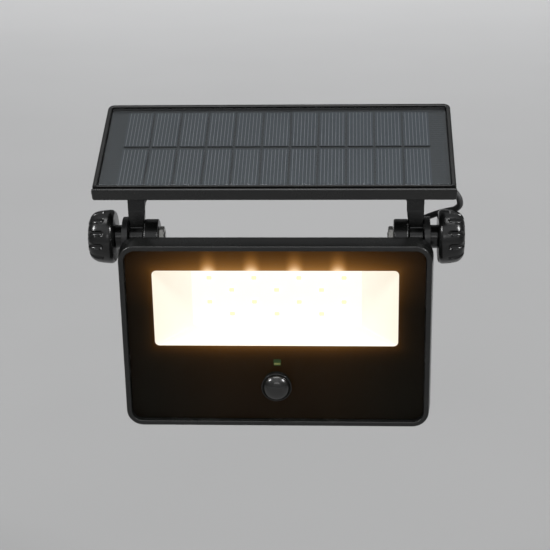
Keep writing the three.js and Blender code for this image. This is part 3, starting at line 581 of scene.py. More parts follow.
def loft(bm, rings, closed=False, caps=True):
    """Skins a row of rings that all have the same number of points."""
    rows = [[bm.verts.new(point) for point in ring] for ring in rings]
    pairs = list(zip(rows, rows[1:]))
    if closed:
        pairs.append((rows[-1], rows[0]))
    count = len(rows[0])
    for first, second in pairs:
        for i in range(count):
            j = (i + 1) % count
            bm.faces.new((first[i], first[j], second[j], second[i]))
    if caps and not closed:
        bm.faces.new(list(reversed(rows[0])))
        bm.faces.new(rows[-1])
    return rows


def head_rings(profile):
    """Rings about the lamp head's outline, from (inset, depth) pairs."""
    return [
        upright(inset_rectangle(HEAD_WIDTH, HEAD_HEIGHT, BEZEL_CORNER, inset, 0.6), depth, HEAD_MIDDLE)
        for inset, depth in profile
    ]


def panel_rings(profile, panel_depth=PANEL_DEPTH):
    """Rings about the panel's outline, from (inset, height) pairs."""
    return [
        level(inset_rectangle(PANEL_WIDTH, panel_depth, PANEL_CORNER, inset, 1.4), height, PANEL_MIDDLE)
        for inset, height in profile
    ]


def about_axis(axis, place, u, v, middle):
    """A point given by its place along an axis and two distances across it."""
    local = {"x": (place, u, v), "y": (u, place, v), "z": (u, v, place)}[axis]
    return tuple(a + b for a, b in zip(local, middle))


def turned(profile, axis="x", middle=(0, 0, 0), count=ROUND, radius_at=None):
    """A body of revolution from (radius, place) pairs; radius_at can change a radius with the angle."""
    bm = bmesh.new()
    rings = []
    for radius, place in profile:
        if radius == 0:
            continue
        ring = []
        for i in range(count):
            angle = 2 * math.pi * i / count
            here = radius_at(radius, place, angle) if radius_at else radius
            ring.append(about_axis(axis, place, here * math.cos(angle), here * math.sin(angle), middle))
        rings.append(ring)
    hollow = profile[0][0] > 0 and profile[-1][0] > 0
    rows = loft(bm, rings, closed=hollow, caps=False)
    for (radius, place), row in ((profile[0], rows[0]), (profile[-1], rows[-1])):
        if radius > 0:
            continue
        tip = bm.verts.new(about_axis(axis, place, 0, 0, middle))
        for i in range(count):
            bm.faces.new((row[i], row[(i + 1) % count], tip))
    return bm


def rod(radius, start, end, axis="x", middle=(0, 0, 0), count=32):
    """A round rod to cut a hole with."""
    return turned([(0, start), (radius, start), (radius, end), (0, end)], axis, middle, count)


def on_side(bm, sign):
    """Mirrors a shape drawn for the right side where the sign is negative."""
    if sign < 0:
        bmesh.ops.scale(bm, vec=(-1, 1, 1), verts=bm.verts)
    return bm


def block(bm, low, high):
    """A box between two corners."""
    ring = [(low[0], low[1]), (high[0], low[1]), (high[0], high[1]), (low[0], high[1])]
    loft(bm, [level(ring, low[2]), level(ring, high[2])])


def lofted(rings, closed=False):
    """A bmesh of one loft."""
    bm = bmesh.new()
    loft(bm, rings, closed)
    return bm


def prism(outline, start, end):
    """An outline drawn in Y and Z, run along X."""
    return lofted([along_x(outline, start), along_x(outline, end)])


def flat_with_holes(outlines, thickness):
    """An upright sheet bounded by its first outline and pierced by the others, thickened backwards."""
    bm = bmesh.new()
    edges = []
    for outline in outlines:
        corners = [bm.verts.new(point) for point in outline]
        edges += [bm.edges.new((corners[i], corners[(i + 1) % len(corners)])) for i in range(len(corners))]
    filled = bmesh.ops.triangle_fill(bm, use_beauty=True, edges=edges, use_dissolve=False)
    faces = [item for item in filled["geom"] if isinstance(item, bmesh.types.BMFace)]
    raised = bmesh.ops.extrude_face_region(bm, geom=faces, use_keep_orig=True)
    corners = [item for item in raised["geom"] if isinstance(item, bmesh.types.BMVert)]
    bmesh.ops.translate(bm, verts=corners, vec=(0, thickness, 0))
    return bm


def carved(solid, *tools):
    """A bmesh less some others."""
    helpers = []
    for i, shape in enumerate((solid, *tools)):
        settle(shape)
        helpers.append(as_object(f"carving_{i}", shape))
    for tool in helpers[1:]:
        carving = helpers[0].modifiers.new("carving", "BOOLEAN")
        carving.operation = "DIFFERENCE"
        carving.solver = "EXACT"
        carving.object = tool
    bpy.context.view_layer.update()
    cut = helpers[0].evaluated_get(bpy.context.evaluated_depsgraph_get())
    mesh = bpy.data.meshes.new_from_object(cut)
    for helper in helpers:
        bpy.data.objects.remove(helper)
    result = bmesh.new()
    result.from_mesh(mesh)
    bpy.data.meshes.remove(mesh)
    return result


# ---------------------------------------------------------------- lead


def smooth_path(points, per_span=8):
    """Centripetal Catmull-Rom curve through the points, as a list of places."""
    points = [Vector(point) for point in points]
    ends = [points[0] * 2 - points[1], *points, points[-1] * 2 - points[-2]]
    path = []
    for i in range(1, len(ends) - 2):
        a, b, c, d = ends[i - 1:i + 3]
        steps = [max((q - p).length, 1e-6) ** 0.5 for p, q in ((a, b), (b, c), (c, d))]
        leave = ((b - a) / steps[0] - (c - a) / (steps[0] + steps[1]) + (c - b) / steps[1]) * steps[1]
        arrive = ((c - b) / steps[1] - (d - b) / (steps[1] + steps[2]) + (d - c) / steps[2]) * steps[1]
        for k in range(per_span):
            s = k / per_span
            path.append(
                b * (2 * s ** 3 - 3 * s ** 2 + 1) + leave * (s ** 3 - 2 * s ** 2 + s)
                + c * (3 * s ** 2 - 2 * s ** 3) + arrive * (s ** 3 - s ** 2)
            )
    return path + [points[-1]]


def tube(path, tangents, radius, sides=20):
    """A round tube along a path, with its section carried along without twist."""
    across = tangents[0].orthogonal().normalized()
    rings = []
    for place, tangent in zip(path, tangents):
        across = (across - tangent * across.dot(tangent)).normalized()
        other = tangent.cross(across)
        rings.append([place + across * u + other * v for u, v in arc(radius, 0, 2 * math.pi, sides)[:-1]])
    return lofted(rings)


def make_lead():
    """One lead in two lengths that meet on the bracket."""
    path = smooth_path(LEAD_FROM_PANEL + LEAD_TO_LAMP)
    last = len(path) - 1
    tangents = [(path[min(i + 1, last)] - path[max(i - 1, 0)]).normalized() for i in range(last + 1)]
    on_bracket = LEAD_FROM_PANEL[-1]
    crossing = min(range(len(path)), key=lambda i: (path[i] - Vector(on_bracket)).length)
    lengths = (
        ("panel_lead", slice(0, crossing + 1), "lead_panel_side", ("panel", "wall_mount"),
         LEAD_FROM_PANEL[0], on_bracket),
        ("lamp_lead", slice(crossing, None), "lead_lamp_side", ("wall_mount", "lamp_head"),
         on_bracket, LEAD_TO_LAMP[-3]),
    )
    for name, part, node, bodies, start, end in lengths:
        bm = tube(path[part], tangents[part], LEAD_RADIUS)
        made = piece(name, bm, None, JACKET, replaced=[node], sharp=60)
        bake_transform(made)


make_lead()

# ---------------------------------------------------------------- wall bracket

BEND_RADIUS = 5.0


def bracket_side_outline():
    """Side of the bracket in Y and Z: a round eye on the hinge line, widening to the wall plate."""
    plate_top, plate_bottom = -AXIS_UP + PLATE_HEIGHT / 2, -AXIS_UP - PLATE_HEIGHT / 2
    upper = math.atan2(plate_top, AXIS_OUT) + math.acos(EYE_RADIUS / math.hypot(AXIS_OUT, plate_top))
    lower = math.atan2(plate_bottom, AXIS_OUT) - math.acos(EYE_RADIUS / math.hypot(AXIS_OUT, plate_bottom))
    eye = arc(EYE_RADIUS, upper, lower + 2 * math.pi, 44)
    return eye + [(AXIS_OUT, plate_bottom), (AXIS_OUT, plate_top)]


def through_bracket(plan):
    """A tool with a given plan, taller than the bracket."""
    return lofted([level(plan, -AXIS_UP - PLATE_HEIGHT), level(plan, EYE_RADIUS * 2)])


def outside_bend(end):
    """Plan of the metal to take off outside the bend at one end of the wall plate."""
    across, out, beyond = BRACKET_OUTER - BEND_RADIUS, AXIS_OUT - BEND_RADIUS, 2
    plan = [(BRACKET_OUTER + beyond, AXIS_OUT + beyond), (BRACKET_OUTER + beyond, out)]
    plan += arc(BEND_RADIUS, 0, math.pi / 2, 8, (across, out))
    plan += [(across, AXIS_OUT + beyond)]
    return [(end * x, y) for x, y in plan]


def make_bracket():
    """A steel strip bent into a U: the wall plate with its two holes, and a side with an eye at each end."""
    shape = prism(bracket_side_outline(), -BRACKET_OUTER, BRACKET_OUTER)
    wall_front, open_front = AXIS_OUT - PLATE_THICKNESS, -EYE_RADIUS * 2
    inside = filleted([
        (-BRACKET_INNER, wall_front, 3.0), (BRACKET_INNER, wall_front, 3.0),
        (BRACKET_INNER, open_front), (-BRACKET_INNER, open_front),
    ], closed=True, steps=6)
    tools = [through_bracket(inside)]
    for end in (-1, 1):
        tools.append(through_bracket(outside_bend(end)))
        tools.append(rod(WALL_HOLE_RADIUS, 50, 70, "y", (end * WALL_HOLE_SPACING / 2, 0, -AXIS_UP)))
    reach = BRACKET_OUTER + 2
    tools.append(rod(BOLT_RADIUS + 0.4, -reach, reach))
    piece("bracket", carved(shape, *tools), "wall_mount", BRACKET_PAINT,
          replaced=["wall_bracket"], bevel=0.45)


make_bracket()

# ---------------------------------------------------------------- knobs, bolts and nuts

KNOB_RADIUS, KNOB_NECK_RADIUS = 14.9, 6.4
FLUTE_COUNT, FLUTE_RADIUS, FLUTE_LENGTH = 12, 1.6, 9.0
FLUTE_START = math.radians(4)              # the first flute's turn from level
FLUTE_RISE = 0.15                          # a flute's centre line above the surface of the grip
FLUTED_FROM = 8.9                          # the dished end, nearer the middle than this, has no flutes
KNOB_CROWN = [
    (14.9, 92.0), (14.6, 95.0), (13.9, 99.0), (12.9, 100.9), (11.8, 102.0), (10.4, 102.75), (9.2, 103.0),
]


def flute_depth(radius, place, angle):
    """The radius left by the flutes: round-bottomed grooves that run out through the knob's end."""
    along = place - (KNOB_OUTER - FLUTE_LENGTH)
    if along <= 0 or radius < FLUTED_FROM:
        return radius
    width = FLUTE_RADIUS
    if along < FLUTE_RADIUS:
        width = math.sqrt(FLUTE_RADIUS ** 2 - (FLUTE_RADIUS - along) ** 2)
    pitch = 2 * math.pi / FLUTE_COUNT
    off = (angle - FLUTE_START + pitch / 2) % pitch - pitch / 2
    reach = radius + FLUTE_RISE
    sideways = reach * math.sin(off)
    if abs(sideways) >= width:
        return radius
    return min(radius, reach * math.cos(off) - math.sqrt(width ** 2 - sideways ** 2))


def make_knob(side, sign):
    """Fluted hand knob: a neck, a grip with round-bottomed flutes, and a dished end."""
    skirt = filleted([
        (KNOB_NECK_RADIUS, KNOB_NECK_START), (KNOB_NECK_RADIUS, KNOB_INNER, 0.8),
        (KNOB_RADIUS - 1.3, KNOB_INNER, 0.9), (KNOB_RADIUS, KNOB_INNER + 1.7, 2.0), KNOB_CROWN[0],
    ])
    crown = [(u, v) for u, v, _ in smooth_path([(*point, 0) for point in KNOB_CROWN], 7)]
    floor = KNOB_OUTER - 1.2
    dish = filleted([crown[-1], (8.4, KNOB_OUTER, 0.5), (7.6, floor, 0.6), (0.0, floor)])
    bm = turned(skirt[:-1] + crown + dish[1:], count=FLUTE_COUNT * 32, radius_at=flute_depth)
    piece(f"{side}_knob_grip", on_side(bm, sign), f"{side}_clamp", KNOB_PLASTIC,
          replaced=[f"{side}_knob"], sharp=50)


def make_bolt(side, sign):
    """Clamp bolt: a threaded end at the lock nut and a plain shank inside the knob."""
    tip, turns, pitch, depth = 61.25, 4, 1.0, 0.32
    profile = [(0, tip), (BOLT_RADIUS - 0.7, tip)]
    for turn in range(turns):
        start = tip + turn * pitch
        profile.append((BOLT_RADIUS - depth, start + 0.35))
        profile += [(BOLT_RADIUS, start + 0.7), (BOLT_RADIUS, start + 0.9)]
    shank_end = KNOB_OUTER - 5
    profile += [(BOLT_RADIUS, shank_end), (BOLT_RADIUS - 0.5, shank_end + 0.6), (0, shank_end + 0.6)]
    bm = turned(profile, count=32)
    piece(f"{side}_bolt", on_side(bm, sign), f"{side}_clamp", STEEL,
          replaced=[f"{side}_clamp_bolt"], sharp=40)


NUT_CORNERS = 11.5                         # across its corners


def hexagon(radius, place, angle):
    """Radius of a hexagonal nut whose corners are cut back by a turned chamfer."""
    sixth = math.pi / 3
    off = (angle % sixth) - sixth / 2
    flat = NUT_CORNERS / 2 * math.cos(sixth / 2) / math.cos(off)
    return min(radius, flat)


def make_nut(side, sign):
    """Lock nut with its corners chamfered at both ends."""
    bore, corner = BOLT_RADIUS + 0.05, NUT_CORNERS / 2
    profile = [
        (bore + 0.4, NUT_INNER), (4.6, NUT_INNER), (5.2, NUT_INNER + 0.25), (corner, NUT_INNER + 0.55),
        (corner, NUT_OUTER - 0.2), (5.5, NUT_OUTER), (bore, NUT_OUTER), (bore, NUT_INNER + 0.4),
    ]
    bm = turned(profile, count=96, radius_at=hexagon)
    piece(f"{side}_nut", on_side(bm, sign), f"{side}_clamp", STEEL,
          replaced=[f"{side}_lock_nut"], sharp=28)


for side, sign in SIDES:
    make_knob(side, sign)
    make_bolt(side, sign)
    make_nut(side, sign)

# ---------------------------------------------------------------- solar panel

PANEL_FRONT = PANEL_MIDDLE - PANEL_DEPTH / 2
LIP_PROUD = 0.2                            # the front lip stands this far out at each end
LIP_DEPTH, LIP_TOP = 1.7, PANEL_TOP - 0.6
GROOVE_BACK, GROOVE_DEPTH = 3.1, 1.8       # behind the lip
INNER_RIM_WIDTH = 1.1                      # behind the groove


def make_panel_tray():
    """Moulded tray: a raised rim round the cover sheet and a floor, with a groove behind the front lip."""
    rim_top = PANEL_TOP - 0.1
    bm = lofted(panel_rings(filleted([
        (PANEL_RIM, PANEL_FLOOR_TOP), (PANEL_RIM, rim_top, 0.5), (LIP_PROUD, rim_top, 1.5),
        (LIP_PROUD, PANEL_BOTTOM, 1.0), (PANEL_RIM, PANEL_BOTTOM, 0.3), (PANEL_RIM, PANEL_FLOOR_BOTTOM),
    ], steps=6)))
    for vert in bm.verts:
        if vert.co.y < PANEL_FRONT + GROOVE_BACK and vert.co.z > PANEL_TOP - 2:
            vert.co.z -= GROOVE_DEPTH
    piece("panel_tray", bm, "panel", FRAME_PLASTIC, PANEL_PLACE, ["panel_frame"], sharp=50)


def make_inner_rim():
    """The bar between the groove and the cover sheet."""
    bm = bmesh.new()
    half, front = PANEL_WIDTH / 2 - PANEL_RIM + 0.3, PANEL_FRONT + GROOVE_BACK
    block(bm, (-half, front, PANEL_FLOOR_BOTTOM), (half, front + INNER_RIM_WIDTH, PANEL_TOP - 0.4))
    piece("panel_inner_rim", bm, "panel", FRAME_PLASTIC, PANEL_PLACE, bevel=0.25)


def make_lip():
    """The rounded front lip, drawn in a little towards its ends."""
    back, end = PANEL_FRONT + LIP_DEPTH, PANEL_WIDTH / 2
    section = filleted([
        (back, LIP_TOP, 0.4), (PANEL_FRONT, LIP_TOP, 1.3), (PANEL_FRONT + 0.3, PANEL_BOTTOM, 0.9),
        (back, PANEL_BOTTOM + 0.1, 0.3),
    ], closed=True, steps=6)
    centre = Vector((PANEL_FRONT + 1.5, (PANEL_TOP + PANEL_BOTTOM) / 2))
    stations = [(end, 0.80), (end - 0.15, 0.90), (end - 0.5, 0.965), (end - 1.1, 1.0)]
    stations += [(-x, scale) for x, scale in reversed(stations)]
    bm = lofted([
        along_x([tuple(centre + (Vector(point) - centre) * scale) for point in section], x)
        for x, scale in stations
    ])
    piece("panel_lip", bm, "panel", FRAME_PLASTIC, PANEL_PLACE, sharp=50)


def make_cover_sheet():
    """Clear sheet over the cells, with a wider gap behind the front lip."""
    edge, front_gap = PANEL_RIM + 0.7, 1.3
    profile = filleted([(edge, 38.6), (edge, 39.7, 0.25), (edge + 0.6, 39.7)], steps=3)
    bm = lofted(panel_rings(profile, PANEL_DEPTH - front_gap))
    bmesh.ops.translate(bm, verts=bm.verts, vec=(0, front_gap / 2, 0))
    piece("cover_sheet", bm, "panel", COVER_SHEET, PANEL_PLACE,
          ["solar_cover_sheet"], sharp=40)


def make_cells():
    """Two rows of cells with rounded corners, and the silver fingers printed on them."""
    cells, fingers = bmesh.new(), bmesh.new()
    half, corner, finger_half = SOLAR_CELL_WIDTH / 2, 0.5, 0.12
    for column in range(SOLAR_COLUMNS):
        x = (column - (SOLAR_COLUMNS - 1) / 2) * SOLAR_PITCH
        for front, back in SOLAR_ROWS:
            corners = [(x - half, front), (x + half, front), (x + half, back), (x - half, back)]
            plan = filleted([(*point, corner) for point in corners], closed=True, steps=2)
            loft(cells, [level(plan, CELL_TOP - 0.4), level(plan, CELL_TOP)])
            for finger in range(FINGERS_PER_CELL):
                place = x + (finger - (FINGERS_PER_CELL - 1) / 2) * FINGER_PITCH
                low = (place - finger_half, front + 0.5, CELL_TOP - 0.01)
                block(fingers, low, (place + finger_half, back - 0.5, CELL_TOP + 0.05))
    piece("cells", cells, "panel", SILICON, PANEL_PLACE, ["solar_cells"])
    piece("cell_fingers", fingers, "panel", FINGER_SILVER, PANEL_PLACE)


def make_back_cover():
    """Cover plate under the panel, with a raised field."""
    edge, step = PANEL_RIM + 0.3, PANEL_BOTTOM + 0.25
    bm = lofted(panel_rings(filleted([
        (edge, PANEL_BOTTOM + 2.0), (edge, step, 0.4), (edge + 6, step, 0.5),
        (edge + 7, PANEL_BOTTOM, 0.5), (edge + 9, PANEL_BOTTOM),
    ])))
    piece("back_cover", bm, "panel", BLACK_PLASTIC, PANEL_PLACE,
          ["panel_back_cover"], sharp=45)


def cross_screw(head_height, head_radius, shank_length):
    """A pan-head screw standing on its head: the head's top faces -Z and has a cross recess."""
    shank_radius, rounding = 1.2, 0.9
    solid = turned(filleted([
        (0, -head_height), (head_radius - rounding * 0.4, -head_height, rounding), (head_radius, 0, 0.2),
        (shank_radius, 0), (shank_radius, shank_length), (0, shank_length),
    ]), "z", count=32)
    arms = []
    for long_x, long_y in ((1.5, 0.32), (0.32, 1.5)):
        arm = bmesh.new()
        block(arm, (-long_x, -long_y, -head_height - 1), (long_x, long_y, -head_height + 0.9))
        arms.append(arm)
    shape = carved(solid, *arms)
    mesh = bpy.data.meshes.new("screw_pattern")
    shape.to_mesh(mesh)
    shape.free()
    return mesh


def make_screws(pattern, places, turn, body, node_name, place):
    """Copies of a screw, each left at its own angle by the screwdriver."""
    for i, spot in enumerate(places, start=1):
        bm = bmesh.new()
        bm.from_mesh(pattern)
        bm.transform(Matrix.Translation(spot) @ turn @ Matrix.Rotation(0.9 * i, 4, "Z"))
        piece(f"{node_name}_head_{i}", bm, body, SCREW_STEEL, place, [f"{node_name}_{i}"], sharp=30)


ARM_CREASE, ARM_FLARE_OUT = 16, 0.8        # above the crease the arm widens on its outer side
ARM_NECK, ARM_FLARE_IN = 10.5, 1.4         # above the ear it widens on its inner side
ARM_BARREL_RADIUS = 6.4
ARM_OUTLINE = [
    (-0.1, 6.3), (2.7, 16, 0.8), (11, 29, 4), (11, 32), (34, 32), (34, 29.5, 1.5),
    (21, 27, 4), (12.4, 16, 6), (6.2, 1.5),
]


def arm_outline():
    """The panel arm from the side: a barrel round the hinge line, a web, and a foot under the panel."""
    start, end = math.atan2(1.5, 6.2), math.atan2(6.3, -0.1) - 2 * math.pi
    return filleted(ARM_OUTLINE, steps=5) + arc(ARM_BARREL_RADIUS, start, end, 36)[1:-1]


def rising(height, start, length):
    """0 up to a height, and 1 from a length above it."""
    return min(max((height - start) / length, 0), 1)


def make_arms():
    """Panel arms: each has a barrel with a bore, and a web that widens on both faces towards the panel."""
    for side, sign in SIDES:
        shape = carved(prism(arm_outline(), ARM_INNER, ARM_OUTER), rod(BORE_RADIUS, 70, 84))
        for vert in shape.verts:
            height = vert.co.z
            if vert.co.x > (ARM_INNER + ARM_OUTER) / 2:
                vert.co.x += ARM_FLARE_OUT * rising(height, ARM_CREASE, PANEL_BOTTOM - ARM_CREASE)
            else:
                vert.co.x -= ARM_FLARE_IN * rising(height, ARM_NECK, 6)
        piece(f"{side}_arm", on_side(shape, sign), "panel", BLACK_PLASTIC, PANEL_PLACE,
              [f"{side}_panel_arm"], bevel=0.7)


def ribbed_gland(axis, middle, base, flip=1, plug=0.0):
    """A rubber gland that narrows along the lead, with rings moulded round it and a plug in its hole."""
    bore, ribs, length = LEAD_RADIUS + 0.1, 4, 5.4
    profile = [(bore, -plug), (3.3, -plug), (3.3, 0)] if plug else [(bore, 0)]
    profile += [(4.4, 0), (4.4, 1.3), (3.7, 1.7)]
    for rib in range(ribs):
        place, size = 1.8 + length * rib / ribs, 3.35 - 0.16 * rib
        groove = size - 0.45
        profile += [(groove, place), (size, place + 0.35), (size, place + 0.8), (groove, place + 1.1)]
    profile += [(bore + 0.35, 7.5), (bore, 7.5)]
    return turned([(radius, base + flip * place) for radius, place in profile], axis, middle, count=36)


make_panel_tray()
make_inner_rim()
make_lip()
make_cover_sheet()
make_cells()
make_back_cover()
make_arms()
make_screws(
    cross_screw(head_height=1.6, head_radius=2.7, shank_length=3.4),
    [(x, y, PANEL_BOTTOM - 0.3) for x, y in PANEL_SCREWS],
    Matrix.Identity(4), "panel", "panel_screw", PANEL_PLACE,
)
piece("panel_gland", ribbed_gland("z", (PANEL_GLAND_X, PANEL_GLAND_Y, 0), PANEL_BOTTOM - 0.3, flip=-1),
      "panel", RUBBER, PANEL_PLACE, ["panel_lead_gland"], sharp=40)

# ---------------------------------------------------------------- lamp head


def make_bezel():
    """Front frame: rounded rim round the glass, sides that flare to the back, and a ledge for the glass."""
    skirt = 1.55
    profile = filleted([
        (0, HEAD_FRONT, 0.9), (-BEZEL_DRAFT, BEZEL_BACK, 0.5), (skirt, BEZEL_BACK, 0.2), (skirt, LEDGE_BACK),
        (LEDGE_INSET, LEDGE_BACK), (LEDGE_INSET, LEDGE_FRONT), (RIM_WIDTH, LEDGE_FRONT),
        (RIM_WIDTH, HEAD_FRONT, 0.6),
    ], closed=True, steps=5)
    bm = lofted(head_rings(profile), closed=True)
    piece("bezel", bm, "lamp_head", BLACK_PLASTIC, replaced=["front_bezel"], sharp=50)


def glass_outline(depth):
    return head_rings([(GLASS_INSET, depth)])[0]


def make_glass():
    """Clear front glass with ground edges and a hole for the motion sensor."""
    hole = upright(circle(LENS_HOLE_RADIUS), GLASS_FRONT, SENSOR_HEIGHT)
    bm = flat_with_holes([glass_outline(GLASS_FRONT), hole], GLASS_BACK - GLASS_FRONT)
    piece("glass", bm, "lamp_head", LAMP_GLASS,
          replaced=["front_glass"], bevel=0.25, segments=2)


def make_ink():
    """Black print on the back of the glass, open for the light, for the indicator and for the sensor."""
    depth, thickness = GLASS_BACK + 0.02, 0.12
    (low_x, low_z), (high_x, high_z) = INDICATOR_LOW, INDICATOR_HIGH
    window = rounded_rectangle(WINDOW_WIDTH, WINDOW_HEIGHT, WINDOW_CORNER)
    indicator = rounded_rectangle(high_x - low_x, high_z - low_z, 0.5, 3)
    across = (low_x + high_x) / 2
    outlines = [
        glass_outline(depth),
        upright(window, depth, WINDOW_MIDDLE),
        upright([(x + across, z) for x, z in indicator], depth, (low_z + high_z) / 2),
        upright(circle(LENS_HOLE_RADIUS + 0.1), depth, SENSOR_HEIGHT),
    ]
    piece("glass_print", flat_with_holes(outlines, thickness), "lamp_head", INK_WITH_PAINTED_GLOW)


def make_reflector():
    """White tray behind the window: a flange, four leaning walls and an opening for the LEDs."""
    front, back, wall, flange = GLASS_BACK + 0.3, LED_BOARD_FRONT - 0.3, 1.0, 4.5
    rings = [                              # how far outside the window or the opening, corner and depth
        (WINDOW_WIDTH, WINDOW_HEIGHT, 0, WINDOW_CORNER, front),
        (LED_FLOOR_WIDTH, LED_FLOOR_HEIGHT, 0, 1.2, back),
        (LED_FLOOR_WIDTH, LED_FLOOR_HEIGHT, wall, 2.2, back),
        (WINDOW_WIDTH, WINDOW_HEIGHT, wall - 0.25, 3.2, front + 1.0),
        (WINDOW_WIDTH, WINDOW_HEIGHT, flange, 4.0, front + 1.0),
        (WINDOW_WIDTH, WINDOW_HEIGHT, flange, 4.0, front),
    ]
    bm = lofted([
        upright(rounded_rectangle(width + 2 * outside, height + 2 * outside, corner), depth, WINDOW_MIDDLE)
        for width, height, outside, corner, depth in rings
    ], closed=True)
    piece("reflector_tray", bm, "lamp_head", REFLECTOR, replaced=["reflector"], sharp=20)


LED_HEIGHT = 0.8
LED_SHELL = [(3.5, 2.8, 0.3, LED_HEIGHT), (3.5, 2.8, 0.3, 0), (3.1, 2.4, 0.5, 0), (2.9, 2.2, 0.5, 0.35)]
LED_CUP = [(3.0, 2.3, 0.5, 0.5), (3.0, 2.3, 0.5, 0.05), (1.8, 1.3, 0.4, 0.02)]


def led_places():
    """LEDs in staggered rows: four in one row and three in the next."""
    for row in range(LED_ROWS):
        for column in range(row % 2, LED_COLUMNS, 2):
            x = (column - (LED_COLUMNS - 1) / 2) * LED_COLUMN_PITCH
            yield x, LED_MIDDLE + ((LED_ROWS - 1) / 2 - row) * LED_ROW_PITCH


def make_led_board():
    """White board with a slightly rounded front edge."""
    outline = rounded_rectangle(LED_BOARD_WIDTH, LED_BOARD_HEIGHT, 2)
    half_width, half_height = LED_BOARD_WIDTH // 2, LED_BOARD_HEIGHT // 2
    back, front = LED_BOARD_FRONT + LED_BOARD_THICKNESS, LED_BOARD_FRONT
    rings = []
    for inset, depth in filleted([(0, back), (0, front, 0.2), (0.5, front)]):
        across, up = 1 - inset / half_width, 1 - inset / half_height
        rings.append(upright([(x * across, z * up) for x, z in outline], depth, WINDOW_MIDDLE))
    piece("led_plate", lofted(rings), "lamp_head", LED_BOARD_WHITE, replaced=["led_board"])


def make_leds(name, finish, sections):
    """One layer of every LED, from (width, height, corner, distance behind the LED's front) sections."""
    bm = bmesh.new()
    front = LED_BOARD_FRONT - LED_HEIGHT
    for x, z in led_places():
        loft(bm, [
            [(x + u, front + behind, z + v) for u, v in rounded_rectangle(width, height, corner, 3)]
            for width, height, corner, behind in sections
        ])
    piece(name, bm, "lamp_head", finish)


def make_collar():
    """Round collar that stands out of the glass round the motion sensor."""
    sleeve, proud = LENS_RADIUS + 0.75, HEAD_FRONT - 1
    bm = turned(filleted([
        (sleeve, GLASS_BACK + 2), (sleeve, proud, 0.3), (COLLAR_RADIUS, proud, 0.6),
        (COLLAR_RADIUS, HEAD_FRONT, 0.1), (sleeve + 0.2, HEAD_FRONT), (sleeve + 0.2, GLASS_BACK + 2),
    ], steps=5), "y", (0, 0, SENSOR_HEIGHT), 72)
    piece("sensor_collar", bm, "lamp_head", BLACK_PLASTIC, replaced=["motion_sensor_collar"])


def make_dome():
    """Smoked dome of the motion sensor, in front of the sensor can."""
    base, steps, wall, rim = HEAD_FRONT - 0.6, 20, 0.9, LENS_RADIUS + 0.6
    outer, inner = (
        [(radius * u, base - rise * v) for v, u in arc(1, 0, math.pi / 2, steps)]
        for radius, rise in ((rim, LENS_RISE), (rim - wall, LENS_RISE - wall))
    )
    profile = outer + [(rim, GLASS_BACK + 1), (rim - wall, GLASS_BACK + 1)] + inner[::-1]
    bm = turned(profile, "y", (0, 0, SENSOR_HEIGHT), 72)
    piece("sensor_dome", bm, "lamp_head", SENSOR_DOME, replaced=["motion_sensor_lens"])


def make_indicator():
    """Inside the small window above the sensor: a green board and a cream part low down on it."""
    (low_x, low_z), (high_x, high_z) = INDICATOR_LOW, INDICATOR_HIGH
    depth = GLASS_BACK + 0.5
    board, bar = bmesh.new(), bmesh.new()
    block(board, (low_x - 1, depth, low_z - 1), (high_x + 1, depth + 0.8, high_z + 1))
    piece("indicator_backing", board, "lamp_head", INDICATOR_GREEN, bevel=0.1)
    block(bar, (low_x + 0.3, depth - 0.35, low_z + 0.5), (high_x - 0.3, depth + 0.1, low_z + 1.6))
    piece("indicator_bar", bar, "lamp_head", INDICATOR_CREAM, bevel=0.15)


EAR_RADIUS = 9.7


def ear_outline():
    """Ear of the rear housing from the side: round at the hinge line, straight down behind the bezel."""
    face = BEZEL_BACK + 0.3
    crest = arc(EAR_RADIUS, -math.pi / 4, math.pi * 0.62, 30)
    return [(face - 1.3, -0.3), (face - 1.3, -26), (face, -26)] + crest + [(face, 1.5), (face, -0.3)]


def ear_stations():
    """Places across the ear, with how much its outline shrinks there to round its edges."""
    rounding, steps = 1.0, 5
    near = []
    for step in range(steps + 1):
        turn = math.pi / 2 * step / steps
        size = 1 - rounding * (1 - math.sin(turn)) / EAR_RADIUS
        near.append((EAR_INNER + rounding * (1 - math.cos(turn)), size))
    return near + [(EAR_INNER + EAR_OUTER - x, size) for x, size in reversed(near)]


def box_inset(depth):
    """How far the sides of the rear box lean in at a depth."""
    return BOX_DRAFT * (depth - BEZEL_BACK) / (BOX_BACK - BEZEL_BACK)


def box_ring(inset, depth, corner):
    """A ring about the rear box's outline."""
    outline = rounded_rectangle(BOX_WIDTH - 2 * inset, BOX_HEIGHT - 2 * inset, corner)
    return upright(outline, depth, BOX_MIDDLE)


def make_rear_shell():
    """Rear half of the head: a flange behind the bezel and a tapered box with rounded edges."""
    flange, flange_front, floor = 1.9, BEZEL_BACK - 2.5, BOX_BACK - BOX_WALL
    inner = [box_ring(BOX_WALL + box_inset(floor), floor, 5), box_ring(BOX_WALL, flange_front, 6)]
    edge = head_rings([(flange, flange_front), (flange, BEZEL_BACK - 0.25), (flange + 0.25, BEZEL_BACK)])
    lean = box_inset(BOX_BACK)
    outer = filleted([
        (-1.6, BEZEL_BACK), (0, BEZEL_BACK, 1.6), (lean, BOX_BACK, 3.2), (lean + 8, BOX_BACK),
    ], steps=6)
    bm = lofted(inner + edge + [box_ring(inset, depth, max(9 - inset, 3)) for inset, depth in outer])
    button_hole = rod(4.9, 5, 20, "y", (BUTTON_X, 0, BUTTON_Z), 40)
    lead_hole = rod(3.4, -10, 10, "x", LAMP_GLAND)
    piece("rear_shell", carved(bm, button_hole, lead_hole), "lamp_head", BLACK_PLASTIC,
          replaced=["rear_housing"], bevel=0.35, segments=2)


